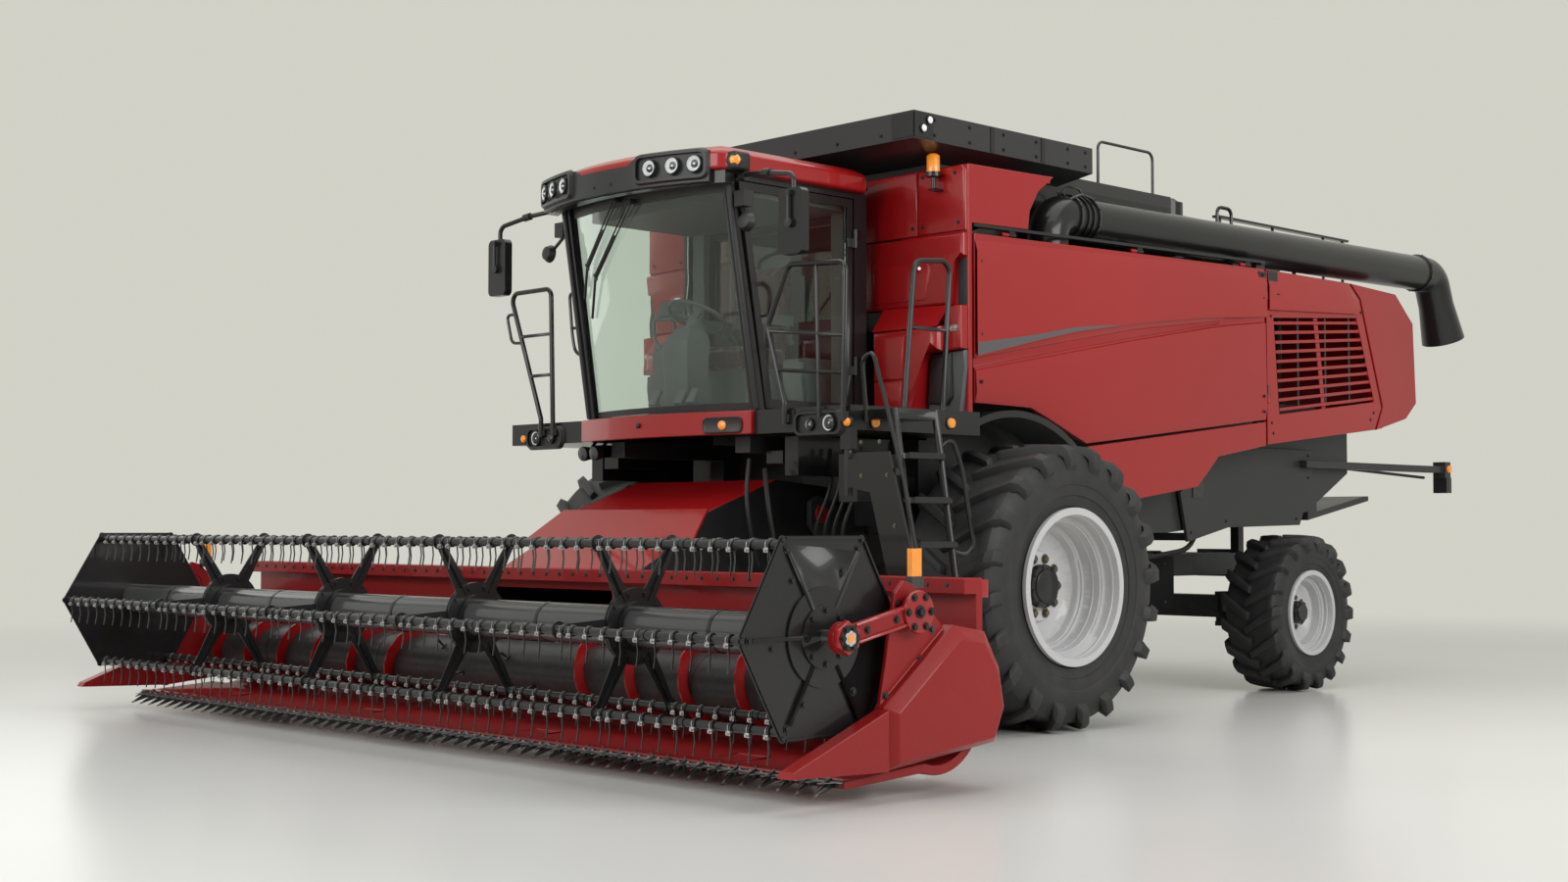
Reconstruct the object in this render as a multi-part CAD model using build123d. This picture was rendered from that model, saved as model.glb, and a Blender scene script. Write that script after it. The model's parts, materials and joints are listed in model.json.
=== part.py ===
"""Combine harvester with a reel cutting header, standing on its four wheels.

Frame: +X is the machine's left, -Y its front, +Z up; millimetres. Stations along the machine
(the y values below) are measured from the front axle, and every finished node is moved by
FRONT_AXLE_Y, which puts the origin on the ground under the middle of the whole machine.
"""
import os
from math import atan2, cos, degrees, pi, radians, sin

from build123d import *

# ---------------------------------------------------------------- driving dimensions
RUN = 0.05            # radial clearance of a shaft in its bearing
SEAT = 0.3            # gap between curved or padded pieces and their seats
GAP = 12.0            # shut line round doors and covers

# wheels: radius over the lugs, half width, rim, lug count per side
FRONT_TYRE_R = 914.0
FRONT_TYRE_W = 800.0
FRONT_RIM_R = 470.0
FRONT_TRACK_X = 1860.0
FRONT_LUGS = 20
AXLE_TOP_Z = FRONT_TYRE_R + 120  # upper side of the front axle, which carries the frame
REAR_AXLE_Y = 3847.0
REAR_TYRE_R = 617.0
REAR_TYRE_W = 520.0
REAR_RIM_R = 310.0
REAR_TRACK_X = 1385.0
REAR_LUGS = 18
LUG_HEIGHT = 48.0
LUG_INSET = 14.0      # the lugs end this far inside the tyre's sides
TYRE_PANELS = 24      # flat panels round a tyre
HUB_PIN_R = 70.0      # wheel spindle radius, front; the rear one is REAR_PIN_R
REAR_PIN_R = 45.0
KINGPIN_X = 900.0
KINGPIN_R = 38.0

# body
BODY_X = 1600.0       # outer face of the side panels
DOOR_T = 40.0         # thickness of doors and covers
BODY_FRONT_Y = -240.0
BODY_SEAM_Y = 3230.0
BODY_TAIL_Y = 5570.0
PANEL_TOP_Z = 3210.0
UPPER_TOP_Z = 3660.0
CASING_TOP_Z = 2300.0
FRAME_TOP_Z = 1250.0
POST_X = 1555.0       # outer face of the posts and rails that carry the doors
POST_W = 45.0
DOOR_TOP_RISE = 80.0  # how much higher the doors' top edge is at the seam
DOOR_REAR_Y = BODY_SEAM_Y - GAP - 4
DOOR_LOW = [(BODY_FRONT_Y, 2100), (350, 2090), (950, 1870), (DOOR_REAR_Y, 2120)]
HINGE_X = BODY_X - DOOR_T / 2
HINGE_R = 14.0
HINGE_LONG = 70.0
HINGE_YS = (60, 1500, 2900)
LOUVRES = 10
GRILLE_HINGE_Z = (2250, 3050)
GRILLE_HINGE_X = BODY_X + 7
GRILLE_HINGE_Y = BODY_SEAM_Y + 2
GRILLE_HINGE_R = 8.0
CASING_X = 1180.0     # half width of the threshing and cleaning casing
TAIL_LOW = (4500.0, 1420.0)
TAIL_HIGH = (5150.0, 1750.0)
TANK_X = 1235.0
TANK_REAR_Y = 2500.0
TANK_WALL = 25.0
EXT_X = 1490.0
EXT_FRONT_Y = -700.0
EXT_REAR_Y = 1180.0
EXT_RISE = 310.0      # how far the collar stands over the upper side panels
EXT_TOP_Z = UPPER_TOP_Z + EXT_RISE
EXT_BAND = 180.0

# unloading auger
UNLOADER_X = 1395.0
UNLOADER_Y = 780.0
UNLOADER_Z = 3465.0
UNLOADER_R = 150.0
UNLOADER_WALL = 8.0
UNLOADER_RISE = 65.0
UNLOADER_END_Y = 6230.0
SPOUT_R = 185.0
SPOUT_LOW_Z = 2940.0
SPOUT_LENGTH = 330.0
SPOUT_LEAN = 0.40     # run of the spout per unit of drop

# cab
CAB_X = 860.0         # outer side of the cab
CAB_FRONT_Y = -1450.0
CAB_REAR_Y = -480.0
CAB_TOP_FRONT_Y = -1690.0
CAB_FLOOR_Z = 2040.0
CAB_TOP_Z = 3480.0
CAB_WALL = 60.0
GLASS_T = 8.0
ROOF_X = 930.0
ROOF_FRONT_Y = -1830.0
ROOF_BULGE = 210.0
ROOF_CORNER_R = 110.0
ROOF_TOP_Z = 3680.0
VISOR_DEPTH = CAB_TOP_FRONT_Y - ROOF_FRONT_Y - 60 - SEAT
CAB_HINGE_Z = (2300, 3150)
CAB_HINGE_X = CAB_X + 16
CAB_HINGE_Y = CAB_REAR_Y - 125
PLATFORM_X = 1700.0
PLATFORM_FRONT_Y = -1510.0
PLATFORM_REAR_Y = -310.0
PLATFORM_TOP_Z = 2030.0
PLATFORM_T = 150.0
RAIL_R = 17.0
RAIL_STAND = 30.0     # the front rails stand this far before the decks
LADDER_HINGE_X = 1655.0
LADDER_HINGE_Y = -1480.0
LADDER_TOP_X = 1960.0
LADDER_FOOT_X = 2190.0
LADDER_FOOT_Z = 560.0
LADDER_REAR_Y = -1040.0
LADDER_FRONT_Y = -1400.0
RUNGS = 5

# feeder house and header
LIFT_Y = -800.0       # axis that the feeder house and header rise about
LIFT_Z = 1380.0
LIFT_PIN_R = 60.0
BARREL_Y = -240.0     # lift cylinders: pin on the axle, pin under the feeder house
BARREL_Z = 610.0
ROD_EYE_Y = -1750.0
ROD_EYE_Z = 480.0
CYL_PIN_R = 25.0
CYL_X = 450.0
FEEDER_X = 700.0
HEADER_X = 3520.0     # inner face of the header's end sheets
HEADER_FRONT_Y = -3440.0
SHEET_T = 50.0
TROUGH_R = 285.0
AUGER_Y = -2785.0
AUGER_Z = 425.0
AUGER_R = 250.0
AUGER_TUBE_R = 180.0
AUGER_PITCH = 450.0
FLIGHT_T = 12.0
FLIGHT_TURNS = 6
FLIGHT_FACETS = 16    # flat plates in one turn of the flights
AUGER_PIN_R = 30.0
FEEDER_FRONT_Y = AUGER_Y + TROUGH_R + SHEET_T
GUARD_PITCH = 127.0
GUARD_TIP_Y = -3560.0

# reel
REEL_Y = -3520.0
REEL_Z = 785.0
REEL_PLATE_R = 540.0
REEL_PLATE_X = 3450.0
REEL_TUBE_R = 105.0
REEL_SHAFT_R = 35.0
BAT_R = 492.0         # radius at which the bats are carried
BAT_TUBE_R = 21.0
BAT_COUNT = 6
TINE_PITCH = 127.0
TINE_DROP = 128.0
BAT_PIN_R = 14.0
SPIDER_X = (-2100.0, -700.0, 700.0, 2100.0)
ARM_PIVOT_Y = -3020.0
ARM_PIVOT_Z = 890.0
ARM_X = 3560.0
ARM_PIN_R = 40.0

# rear
LAMP_ARM_END_Y = 6700.0
LAMP_ARM_X = 1265.0
HITCH_PIN_R = 16.0

FRONT_END_Y = REEL_Y - REEL_PLATE_R
FRONT_AXLE_Y = -(FRONT_END_Y + LAMP_ARM_END_Y) / 2


# ---------------------------------------------------------------- helpers
def block(x0, x1, y0, y1, z0, z1):
    """A box between two corners."""
    size = (x1 - x0, y1 - y0, z1 - z0)
    return Pos((x0 + x1) / 2, (y0 + y1) / 2, (z0 + z1) / 2) * Box(*size)


def prism_x(outline, x0, x1):
    """A (y, z) outline carried along X."""
    face = Plane(origin=(x0, 0, 0), x_dir=(0, 1, 0), z_dir=(1, 0, 0)) * make_face(Polyline(*outline, close=True))
    return extrude(face, amount=x1 - x0)


def prism_y(outline, y0, y1):
    """An (x, z) outline carried along Y."""
    face = Plane(origin=(0, y1, 0), x_dir=(1, 0, 0), z_dir=(0, -1, 0)) * make_face(Polyline(*outline, close=True))
    return extrude(face, amount=y1 - y0)


def prism_z(outline, z0, z1):
    """An (x, y) outline carried along Z."""
    return extrude(Pos(0, 0, z0) * make_face(Polyline(*outline, close=True)), amount=z1 - z0)


def cylinder_x(radius, x0, x1, y, z):
    return extrude(Plane(origin=(x0, y, z), z_dir=(1, 0, 0)) * Circle(radius), amount=x1 - x0)


def cylinder_z(radius, z0, z1, x, y):
    return extrude(Pos(x, y, z0) * Circle(radius), amount=z1 - z0)


def rod(start, end, radius):
    """A round bar between two points."""
    line = Vector(*end) - Vector(*start)
    return extrude(Plane(origin=start, z_dir=line) * Circle(radius), amount=line.length)


def bent_tube(points, radius, bend):
    """A round tube along straight runs joined by arcs of one bend radius."""
    path = FilletPolyline(*points, radius=bend)
    start = Vector(*points[1]) - Vector(*points[0])
    return sweep(Plane(origin=points[0], z_dir=start) * Circle(radius), path=path)


def fused(parts):
    """One solid from parts that meet."""
    parts = list(parts)
    return parts[0].fuse(*parts[1:])


def apart(parts):
    """Separate solids kept in one node."""
    solids = []
    for part in parts:
        solids.extend(part.solids())
    return Compound(solids)


def other_side(shape):
    return mirror(shape, about=Plane.YZ)


def both_sides(shape):
    return apart([shape, other_side(shape)])


# ---------------------------------------------------------------- wheels
def panel_ring(sections):
    """A solid about X in flat panels: (x, apothem) pairs joined all round, one panel lowest."""
    rings = []
    for x, apothem in sections:
        radius = apothem / cos(pi / TYRE_PANELS)
        turns = [2 * pi * (count + 0.5) / TYRE_PANELS - pi / 2 for count in range(TYRE_PANELS)]
        rings.append([Vector(x, radius * cos(turn), radius * sin(turn)) for turn in turns])
    panels = [Face(Wire.make_polygon(rings[0])), Face(Wire.make_polygon(rings[-1]))]
    for near, far in zip(rings, rings[1:]):
        for count in range(TYRE_PANELS):
            after = (count + 1) % TYRE_PANELS
            panels.append(Face(Wire.make_polygon([near[count], near[after], far[after], far[count]])))
    return Solid(Shell(panels))


def tyre(radius, width, rim_r, lugs):
    """A tyre about X in flat panels with chevron lugs, its middle at the origin."""
    half = width / 2
    bead = half - 62
    shoulder = half - LUG_INSET
    crown_r = radius - LUG_HEIGHT - 18
    belly = (rim_r + radius) / 2
    carcass = panel_ring([(-bead, rim_r + 35), (-half, belly), (-shoulder, crown_r),
                          (shoulder, crown_r), (half, belly), (bead, rim_r + 35)])
    carcass -= panel_ring([(-half, rim_r + SEAT), (half, rim_r + SEAT)])
    ring = panel_ring([(-shoulder, radius), (shoulder, radius)])
    sweep_back = 0.62 * half
    bar = [(-18, -26), (14, 26), (half, sweep_back + 42), (half, sweep_back - 46)]
    blank = extrude(Pos(0, 0, belly + 60) * make_face(Polyline(*bar, close=True)), amount=radius)
    mate = mirror(blank, about=Plane.YZ)
    step = 360 / lugs
    pieces = []
    for count in range(lugs):
        pieces.append(Rot(X=count * step) * blank & ring)
        pieces.append(Rot(X=(count + 0.5) * step) * mate & ring)
    return carcass.fuse(*pieces)


def rim(rim_r, width, flange, bore_r, hub_r):
    """A dished rim about X with its disc at the origin and its hub boss; outside is +X."""
    bead = width / 2 - 62 + SEAT
    wall = 12
    lip = bead + 28
    step_a = bead * 0.75
    step_b = bead * 0.35
    front = [(lip, rim_r - wall), (step_a, rim_r - wall), (step_a, rim_r - 45), (step_b, rim_r - 52),
             (step_b, rim_r - 85), (60, rim_r - 95), (16, rim_r - 150), (16, hub_r)]
    boss = [(110, hub_r), (110, 0), (60, 0), (60, bore_r), (-60, bore_r), (-60, hub_r)]
    rear = [(0, hub_r), (0, rim_r - 162), (44, rim_r - 107), (step_b - 12, rim_r - 97),
            (step_b - 12, rim_r - 64), (step_a - 12, rim_r - 57), (step_a - 12, rim_r - 2 * wall),
            (-lip, rim_r - 2 * wall)]
    outer = [(-lip, rim_r + flange), (-bead, rim_r + flange), (-bead, rim_r), (bead, rim_r),
             (bead, rim_r + flange), (lip, rim_r + flange)] + front + boss + rear
    return revolve(make_face(Polyline(*outer, close=True)), Axis.X)


def wheels():
    """Four tyres and rims; each sits on its own spindle."""
    front_tyre = Pos(FRONT_TRACK_X, 0, FRONT_TYRE_R) * tyre(FRONT_TYRE_R, FRONT_TYRE_W, FRONT_RIM_R, FRONT_LUGS)
    front_rim = Pos(FRONT_TRACK_X, 0, FRONT_TYRE_R) * rim(
        FRONT_RIM_R, FRONT_TYRE_W, 33, HUB_PIN_R + RUN, 135)
    rear_tyre = Pos(REAR_TRACK_X, REAR_AXLE_Y, REAR_TYRE_R) * tyre(
        REAR_TYRE_R, REAR_TYRE_W, REAR_RIM_R, REAR_LUGS)
    rear_rim = Pos(REAR_TRACK_X, REAR_AXLE_Y, REAR_TYRE_R) * rim(
        REAR_RIM_R, REAR_TYRE_W, 25, REAR_PIN_R + RUN, 85)
    return {
        "tyre_front_left": front_tyre, "tyre_front_right": other_side(front_tyre),
        "rim_front_left": front_rim, "rim_front_right": other_side(front_rim),
        "tyre_rear_left": rear_tyre, "tyre_rear_right": other_side(rear_tyre),
        "rim_rear_left": rear_rim, "rim_rear_right": other_side(rear_rim)}


# ---------------------------------------------------------------- axles, frame, casing
def axles():
    """Driven front axle with final drives, rear axle beam and steering knuckles."""
    beam = block(-1240, 1240, -140, 140, FRONT_TYRE_R - 150, AXLE_TOP_Z)
    drive = block(1180, 1330, -200, 200, FRONT_TYRE_R - 230, FRONT_TYRE_R + 230)
    flange_end = FRONT_TRACK_X - 60 - 1
    stub = cylinder_x(150, 1330, flange_end - 90, 0, FRONT_TYRE_R)
    pin = cylinder_x(HUB_PIN_R, flange_end - 90, FRONT_TRACK_X + 55, 0, FRONT_TYRE_R)
    lug = [(BARREL_Y - 60, BARREL_Z - 50), (BARREL_Y - 60, BARREL_Z + 30), (-130, FRONT_TYRE_R - 124),
           (-130, BARREL_Z - 50)]
    lugs = []
    for x in (-CYL_X, CYL_X):
        lugs += [prism_x(lug, x - 75, x - 45), prism_x(lug, x + 45, x + 75)]
        lugs.append(cylinder_x(CYL_PIN_R, x - 60, x + 60, BARREL_Y, BARREL_Z))
    left = fused([drive, stub, pin])
    front = fused([beam, left, other_side(left)] + lugs)

    z = REAR_TYRE_R
    rear_beam = block(110 - KINGPIN_X, KINGPIN_X - 110, REAR_AXLE_Y - 90, REAR_AXLE_Y + 90, z - 60, z + 120)
    pivot = block(-130, 130, REAR_AXLE_Y - 130, REAR_AXLE_Y + 130, z + 120, 900)
    yokes = []
    for low, high in ((z - 130, z - 92), (z + 92, z + 150)):
        arm = block(KINGPIN_X - 150, KINGPIN_X + 60, REAR_AXLE_Y - 75, REAR_AXLE_Y + 75, low, high)
        yokes.append(arm - cylinder_z(KINGPIN_R + RUN, low - 1, high + 1, KINGPIN_X, REAR_AXLE_Y))
    web = block(KINGPIN_X - 150, KINGPIN_X - 90, REAR_AXLE_Y - 62, REAR_AXLE_Y + 62, z - 130, z + 150)
    yoke = fused(yokes + [web])
    rear = fused([rear_beam, pivot, yoke, other_side(yoke)])

    kingpin = cylinder_z(KINGPIN_R, z - 140, z + 160, KINGPIN_X, REAR_AXLE_Y)
    barrel = cylinder_z(62, z - 91, z + 91, KINGPIN_X, REAR_AXLE_Y)
    spindle = cylinder_x(60, KINGPIN_X, REAR_TRACK_X - 61, REAR_AXLE_Y, z)
    pin = cylinder_x(REAR_PIN_R, REAR_TRACK_X - 70, REAR_TRACK_X + 55, REAR_AXLE_Y, z)
    arm = block(KINGPIN_X - 40, KINGPIN_X + 10, REAR_AXLE_Y - 260, REAR_AXLE_Y, z - 50, z - 10)
    knuckle = fused([kingpin, barrel, spindle, pin, arm])
    return {"front_axle": front, "rear_axle": rear,
            "knuckle_left": knuckle, "knuckle_right": other_side(knuckle)}


def main_frame():
    """Two long beams, cross members, the feeder pivot brackets and the rear side plates."""
    parts = []
    rail = prism_x([(-620, AXLE_TOP_Z), (-620, FRAME_TOP_Z), (1900, FRAME_TOP_Z), (2300, 1080), (4900, 1080),
                    (4900, 900), (2200, 900), (1800, AXLE_TOP_Z)], 560, 700)
    parts += [rail, other_side(rail)]
    for y in (-560, 900, 2500, 4780):
        top = 1230 if y < 1900 else 1070
        parts.append(block(-600, 600, y, y + 120, top - 150, top))
    parts.append(block(-220, 220, REAR_AXLE_Y - 140, REAR_AXLE_Y + 140, 900, 1060))
    parts.append(block(-600, 600, REAR_AXLE_Y - 60, REAR_AXLE_Y + 60, 960, 1060))
    bracket = prism_x([(-900, 1300), (-900, 1460), (-820, 1500), (-560, 1400), (-560, AXLE_TOP_Z),
                       (-640, AXLE_TOP_Z)], FEEDER_X + 12, FEEDER_X + 52)
    bracket -= cylinder_x(LIFT_PIN_R + SEAT, FEEDER_X, FEEDER_X + 60, LIFT_Y, LIFT_Z)
    cheek = block(690, FEEDER_X + 52, -620, -500, AXLE_TOP_Z, 1400)
    parts += [fused([bracket, cheek]), other_side(fused([bracket, cheek]))]
    mast = block(560, 700, -480, -340, 1200, PLATFORM_TOP_Z - PLATFORM_T)
    cab_rest = block(560, 700, -1400, -340, PLATFORM_TOP_Z - PLATFORM_T - 110, PLATFORM_TOP_Z - PLATFORM_T)
    parts += [fused([mast, cab_rest]), other_side(fused([mast, cab_rest]))]
    side_plate = prism_x([(2600, 1560), (2700, 1180), (3250, 1290), (4300, 1310), (4500, 1700), (4500, 1930),
                          (3300, 1930)], 1200, 1230)
    stay = block(600, 1210, 2720, 2800, 1190, 1250)
    drop = block(600, 680, 2720, 2800, 1060, 1200)
    tail_stay = block(600, 1210, 4240, 4320, 1330, 1390)
    tail_drop = block(600, 680, 4240, 4320, 1060, 1340)
    side = fused([side_plate, stay, drop, tail_stay, tail_drop])
    parts += [side, other_side(side)]
    hitch_plate = block(-180, 180, 4900, 4940, 860, 1100)
    jaw = []
    for low in (930, 1010):
        ear = block(-60, 60, 4940, 5080, low, low + 30)
        jaw.append(ear - cylinder_z(HITCH_PIN_R, low - 1, low + 31, 0, 5030))
    parts += [hitch_plate] + jaw
    frame = fused(parts)
    return {"main_frame": frame}


def casing():
    """Closed threshing, separating and cleaning housing, and the engine block on top of it."""
    outline = [(-320, FRAME_TOP_Z), (-320, 1870), (-240, 1870), (-240, CASING_TOP_Z), (4600, CASING_TOP_Z),
               (5150, 2150), TAIL_HIGH, TAIL_LOW, (2500, FRAME_TOP_Z)]
    box = prism_x(outline, -CASING_X, CASING_X)
    stays = []
    for y, z in ((1400, 1620), (3030, 1960)):
        stays.append(block(CASING_X - 1, BODY_X - DOOR_T, y, y + 60, z, z + 60))
    stays.append(block(CASING_X - 1, BODY_X - DOOR_T, 5000, 5060, 2118, 2175))
    for y in (BODY_FRONT_Y + 20, BODY_SEAM_Y - 30):
        stays.append(block(CASING_X - 1, POST_X - POST_W, y, y + 60, 2160, 2220))
    stays += [other_side(stay) for stay in stays]
    box = fused([box] + stays)
    engine = block(-500, 500, 3000, 4200, CASING_TOP_Z + 30, 3030)
    feet = []
    for x in (-420, 360):
        for y in (3050, 4090):
            feet.append(block(x, x + 60, y, y + 60, CASING_TOP_Z, CASING_TOP_Z + 31))
    return {"separator_casing": box, "engine_block": fused([engine] + feet)}


# ---------------------------------------------------------------- body panels
def door_top(y):
    """Height of the side doors' top edge at a station."""
    return PANEL_TOP_Z + DOOR_TOP_RISE * (y - BODY_FRONT_Y) / (BODY_SEAM_Y - BODY_FRONT_Y)


def top_hinge(y):
    """A hinge on the side door's top edge: the door's barrel and the rail's barrel behind it."""
    rise = Vector(0, BODY_SEAM_Y - BODY_FRONT_Y, DOOR_TOP_RISE).normalized()
    start = Vector(HINGE_X, y, door_top(y) + HINGE_R + 4)
    mine = rod(start, start + rise * HINGE_LONG, HINGE_R)
    tab = block(HINGE_X - 6, HINGE_X + 6, y + 4, y + HINGE_LONG - 4, door_top(y) - 6, door_top(y) + HINGE_R + 4)
    theirs = rod(start + rise * (HINGE_LONG + SEAT), start + rise * (2 * HINGE_LONG + SEAT), HINGE_R)
    lug = block(HINGE_X - 6, HINGE_X + 6, y + HINGE_LONG + 6, y + 2 * HINGE_LONG, door_top(y) + HINGE_R + 4,
                door_top(y) + 2 * HINGE_R + 20)
    return fused([mine, tab]), fused([theirs, lug])


def side_door():
    """Left service door: the large panel that lifts about its top edge."""
    outline = DOOR_LOW + [(DOOR_REAR_Y, door_top(DOOR_REAR_Y)), (BODY_FRONT_Y, PANEL_TOP_Z)]
    skin = prism_x(outline, BODY_X - DOOR_T, BODY_X)
    relief = prism_x([(BODY_FRONT_Y - 1, 2390), (BODY_FRONT_Y - 1, 2330), (1500, 2640), (2600, 2820),
                      (2600, 2840), (1500, 2700)], BODY_X - 12, BODY_X + 1)
    return fused([skin - relief] + [top_hinge(y)[0] for y in HINGE_YS])


def door_rails():
    """Left rail over the side door, the posts at the door's ends and the rear post of the grille."""
    low_z = door_top(BODY_FRONT_Y) + 44
    high_z = door_top(BODY_SEAM_Y) + 44
    rail = prism_x([(BODY_FRONT_Y, low_z), (BODY_FRONT_Y, low_z + 20), (BODY_SEAM_Y, high_z + 20),
                    (BODY_SEAM_Y, high_z)], POST_X + 2, BODY_X)
    front = block(POST_X - POST_W, POST_X, BODY_FRONT_Y, BODY_FRONT_Y + 90, 2110, low_z + 20)
    front_cap = block(POST_X - POST_W, BODY_X, BODY_FRONT_Y, BODY_FRONT_Y + 90, low_z + 4, low_z + 20)
    seam = block(POST_X - POST_W, POST_X, BODY_SEAM_Y - 60, BODY_SEAM_Y + 60, 1960, high_z)
    seam_cap = block(POST_X - POST_W, BODY_X, BODY_SEAM_Y - 60, BODY_SEAM_Y, high_z - 10, high_z + 4)
    tie = block(TANK_X, POST_X, BODY_FRONT_Y + 40, BODY_FRONT_Y + 90, 3080, 3140)
    bridge = block(CASING_X, POST_X, BODY_SEAM_Y - 40, BODY_SEAM_Y + 40, 3200, 3240)
    parts = [rail, front, front_cap, seam, seam_cap, tie, bridge]
    parts += [top_hinge(y)[1] for y in HINGE_YS]
    for z in GRILLE_HINGE_Z:
        parts.append(side_hinge(z)[1])
    return fused(parts)


def side_hinge(z):
    """A hinge on the grille door's front edge: the door's barrel and the post's barrel above it."""
    mine = cylinder_z(GRILLE_HINGE_R, z, z + HINGE_LONG, GRILLE_HINGE_X, GRILLE_HINGE_Y)
    leaf = block(BODY_X - 4, GRILLE_HINGE_X, GRILLE_HINGE_Y, BODY_SEAM_Y + GAP + 30, z + 3, z + HINGE_LONG - 3)
    theirs = cylinder_z(GRILLE_HINGE_R, z + HINGE_LONG + SEAT, z + 2 * HINGE_LONG, GRILLE_HINGE_X,
                        GRILLE_HINGE_Y)
    lug = block(POST_X - 8, GRILLE_HINGE_X, GRILLE_HINGE_Y - 5, GRILLE_HINGE_Y + 5, z + HINGE_LONG + 3,
                z + 2 * HINGE_LONG)
    return fused([mine, leaf]), fused([theirs, lug])


def skirt():
    """Lower side cover between the wheels."""
    outline = [(960, 1850), (1200, 1560), (1520, 1490), (2290, 1590), (2570, 1820), (BODY_SEAM_Y - GAP, 1920),
               (BODY_SEAM_Y - GAP, 2105)]
    return prism_x(outline, BODY_X - DOOR_T, BODY_X)


def grille_door():
    """Rear side cover with its sloping opening and louvre slats."""
    outline = [(BODY_SEAM_Y + GAP, 1930), (BODY_SEAM_Y + GAP, 3290), (4480, 3290), (4640, 3170), (4980, 2290),
               (4870, 2100)]
    panel = prism_x(outline, BODY_X - DOOR_T, BODY_X)
    hole = [(3340, 2920), (4590, 3010), (4860, 2330), (3410, 2170)]
    panel -= prism_x(hole, BODY_X - DOOR_T - 1, BODY_X + 1)
    slats = []
    for count in range(LOUVRES):
        low = (count + 0.5) / LOUVRES
        front_y = 3410 - 70 * low
        rear_y = 4860 - 270 * low
        front_z = 2170 + 750 * low
        rear_z = 2330 + 680 * low
        slats.append(prism_x([(front_y - 12, front_z - 16), (rear_y + 12, rear_z - 16),
                              (rear_y + 12, rear_z + 10), (front_y - 12, front_z + 10)],
                             BODY_X - DOOR_T + 6, BODY_X - 6))
    post = prism_x([(4080, 2230), (4140, 2230), (4020, 2990), (3960, 2990)], BODY_X - DOOR_T, BODY_X - 24)
    return fused([panel, post] + slats + [side_hinge(z)[0] for z in GRILLE_HINGE_Z])


def rear_hood():
    """Hollow tail hood that closes the body behind the grilles."""
    outer = [(4510, 3290), (4670, 3170), (5010, 2290), (4900, 2100), (5390, 2210), (BODY_TAIL_Y, 2350),
             (5530, 3030), (5240, 3260)]
    hood = prism_x(outer, -BODY_X, BODY_X)
    inner = [(4400, 3250), (5220, 3220), (5490, 3010), (5528, 2370), (5400, 2260), (5380, 2000), (4400, 2000)]
    return hood - prism_x(inner, DOOR_T - BODY_X, BODY_X - DOOR_T)


def body_panels():
    """Front walls beside the cab, upper side panels over the doors and their caps."""
    wall = block(1010, BODY_X, BODY_FRONT_Y - 60, BODY_FRONT_Y - 20, PLATFORM_TOP_Z + SEAT, UPPER_TOP_Z)
    foot_z = door_top(BODY_FRONT_Y) + 65
    upper = prism_x([(BODY_FRONT_Y - 60, foot_z - 65), (BODY_FRONT_Y - 60, UPPER_TOP_Z),
                     (600, UPPER_TOP_Z + 20), (430, 3560), (340, 3420), (320, foot_z + 16),
                     (BODY_FRONT_Y - 19, foot_z), (BODY_FRONT_Y - 19, foot_z - 65)],
                    BODY_X - DOOR_T, BODY_X)
    roof = block(TANK_X, BODY_X, BODY_FRONT_Y - 60, 560, UPPER_TOP_Z - 30, UPPER_TOP_Z)
    return both_sides(fused([wall, upper, roof]))


def grain_tank():
    """Open-topped grain tank with a sloping floor."""
    outer = block(-TANK_X, TANK_X, -200, TANK_REAR_Y, CASING_TOP_Z, UPPER_TOP_Z + 60)
    inner = block(TANK_WALL - TANK_X, TANK_X - TANK_WALL, TANK_WALL - 200, TANK_REAR_Y - TANK_WALL, 2700,
                  UPPER_TOP_Z + 61)
    hopper = prism_x([(400, 2330), (900, 2330), (TANK_REAR_Y - TANK_WALL, 2701), (TANK_WALL - 200, 2701)],
                     -300, 300)
    return outer - inner - hopper


def tank_extension():
    """Flared collar on the tank: sloping sheets, an upright band, a low rear part and its rail."""
    base_z = UPPER_TOP_Z + 60
    band_z = EXT_TOP_Z - EXT_BAND
    collar_rear = EXT_REAR_Y - 80

    def ring(inset):
        low = Pos(0, (collar_rear - 200) / 2, base_z) * Rectangle(
            2 * (TANK_X - inset), collar_rear + 200 - 2 * inset)
        high = Pos(0, (EXT_REAR_Y + EXT_FRONT_Y) / 2, band_z) * Rectangle(
            2 * (EXT_X - inset), EXT_REAR_Y - EXT_FRONT_Y - 2 * inset)
        flare = loft([low, high], ruled=True)
        return flare + extrude(high, amount=EXT_BAND)
    collar = ring(0) - ring(22)
    rear = block(-TANK_X, TANK_X, collar_rear - 30, TANK_REAR_Y, base_z, base_z + 90)
    rear -= block(-TANK_X + 22, TANK_X - 22, collar_rear - 31, TANK_REAR_Y - 22, base_z - 1, base_z + 91)
    rear -= ring(22)
    rails = []
    for x in (-TANK_X + 11, TANK_X - 11):
        rails.append(bent_tube([(x, 1600, base_z + 60), (x, 1600, 4120), (x, 2280, 4120), (x, 2280, base_z + 60)],
                               11, 60))
    return fused([collar, rear] + rails)


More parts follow.
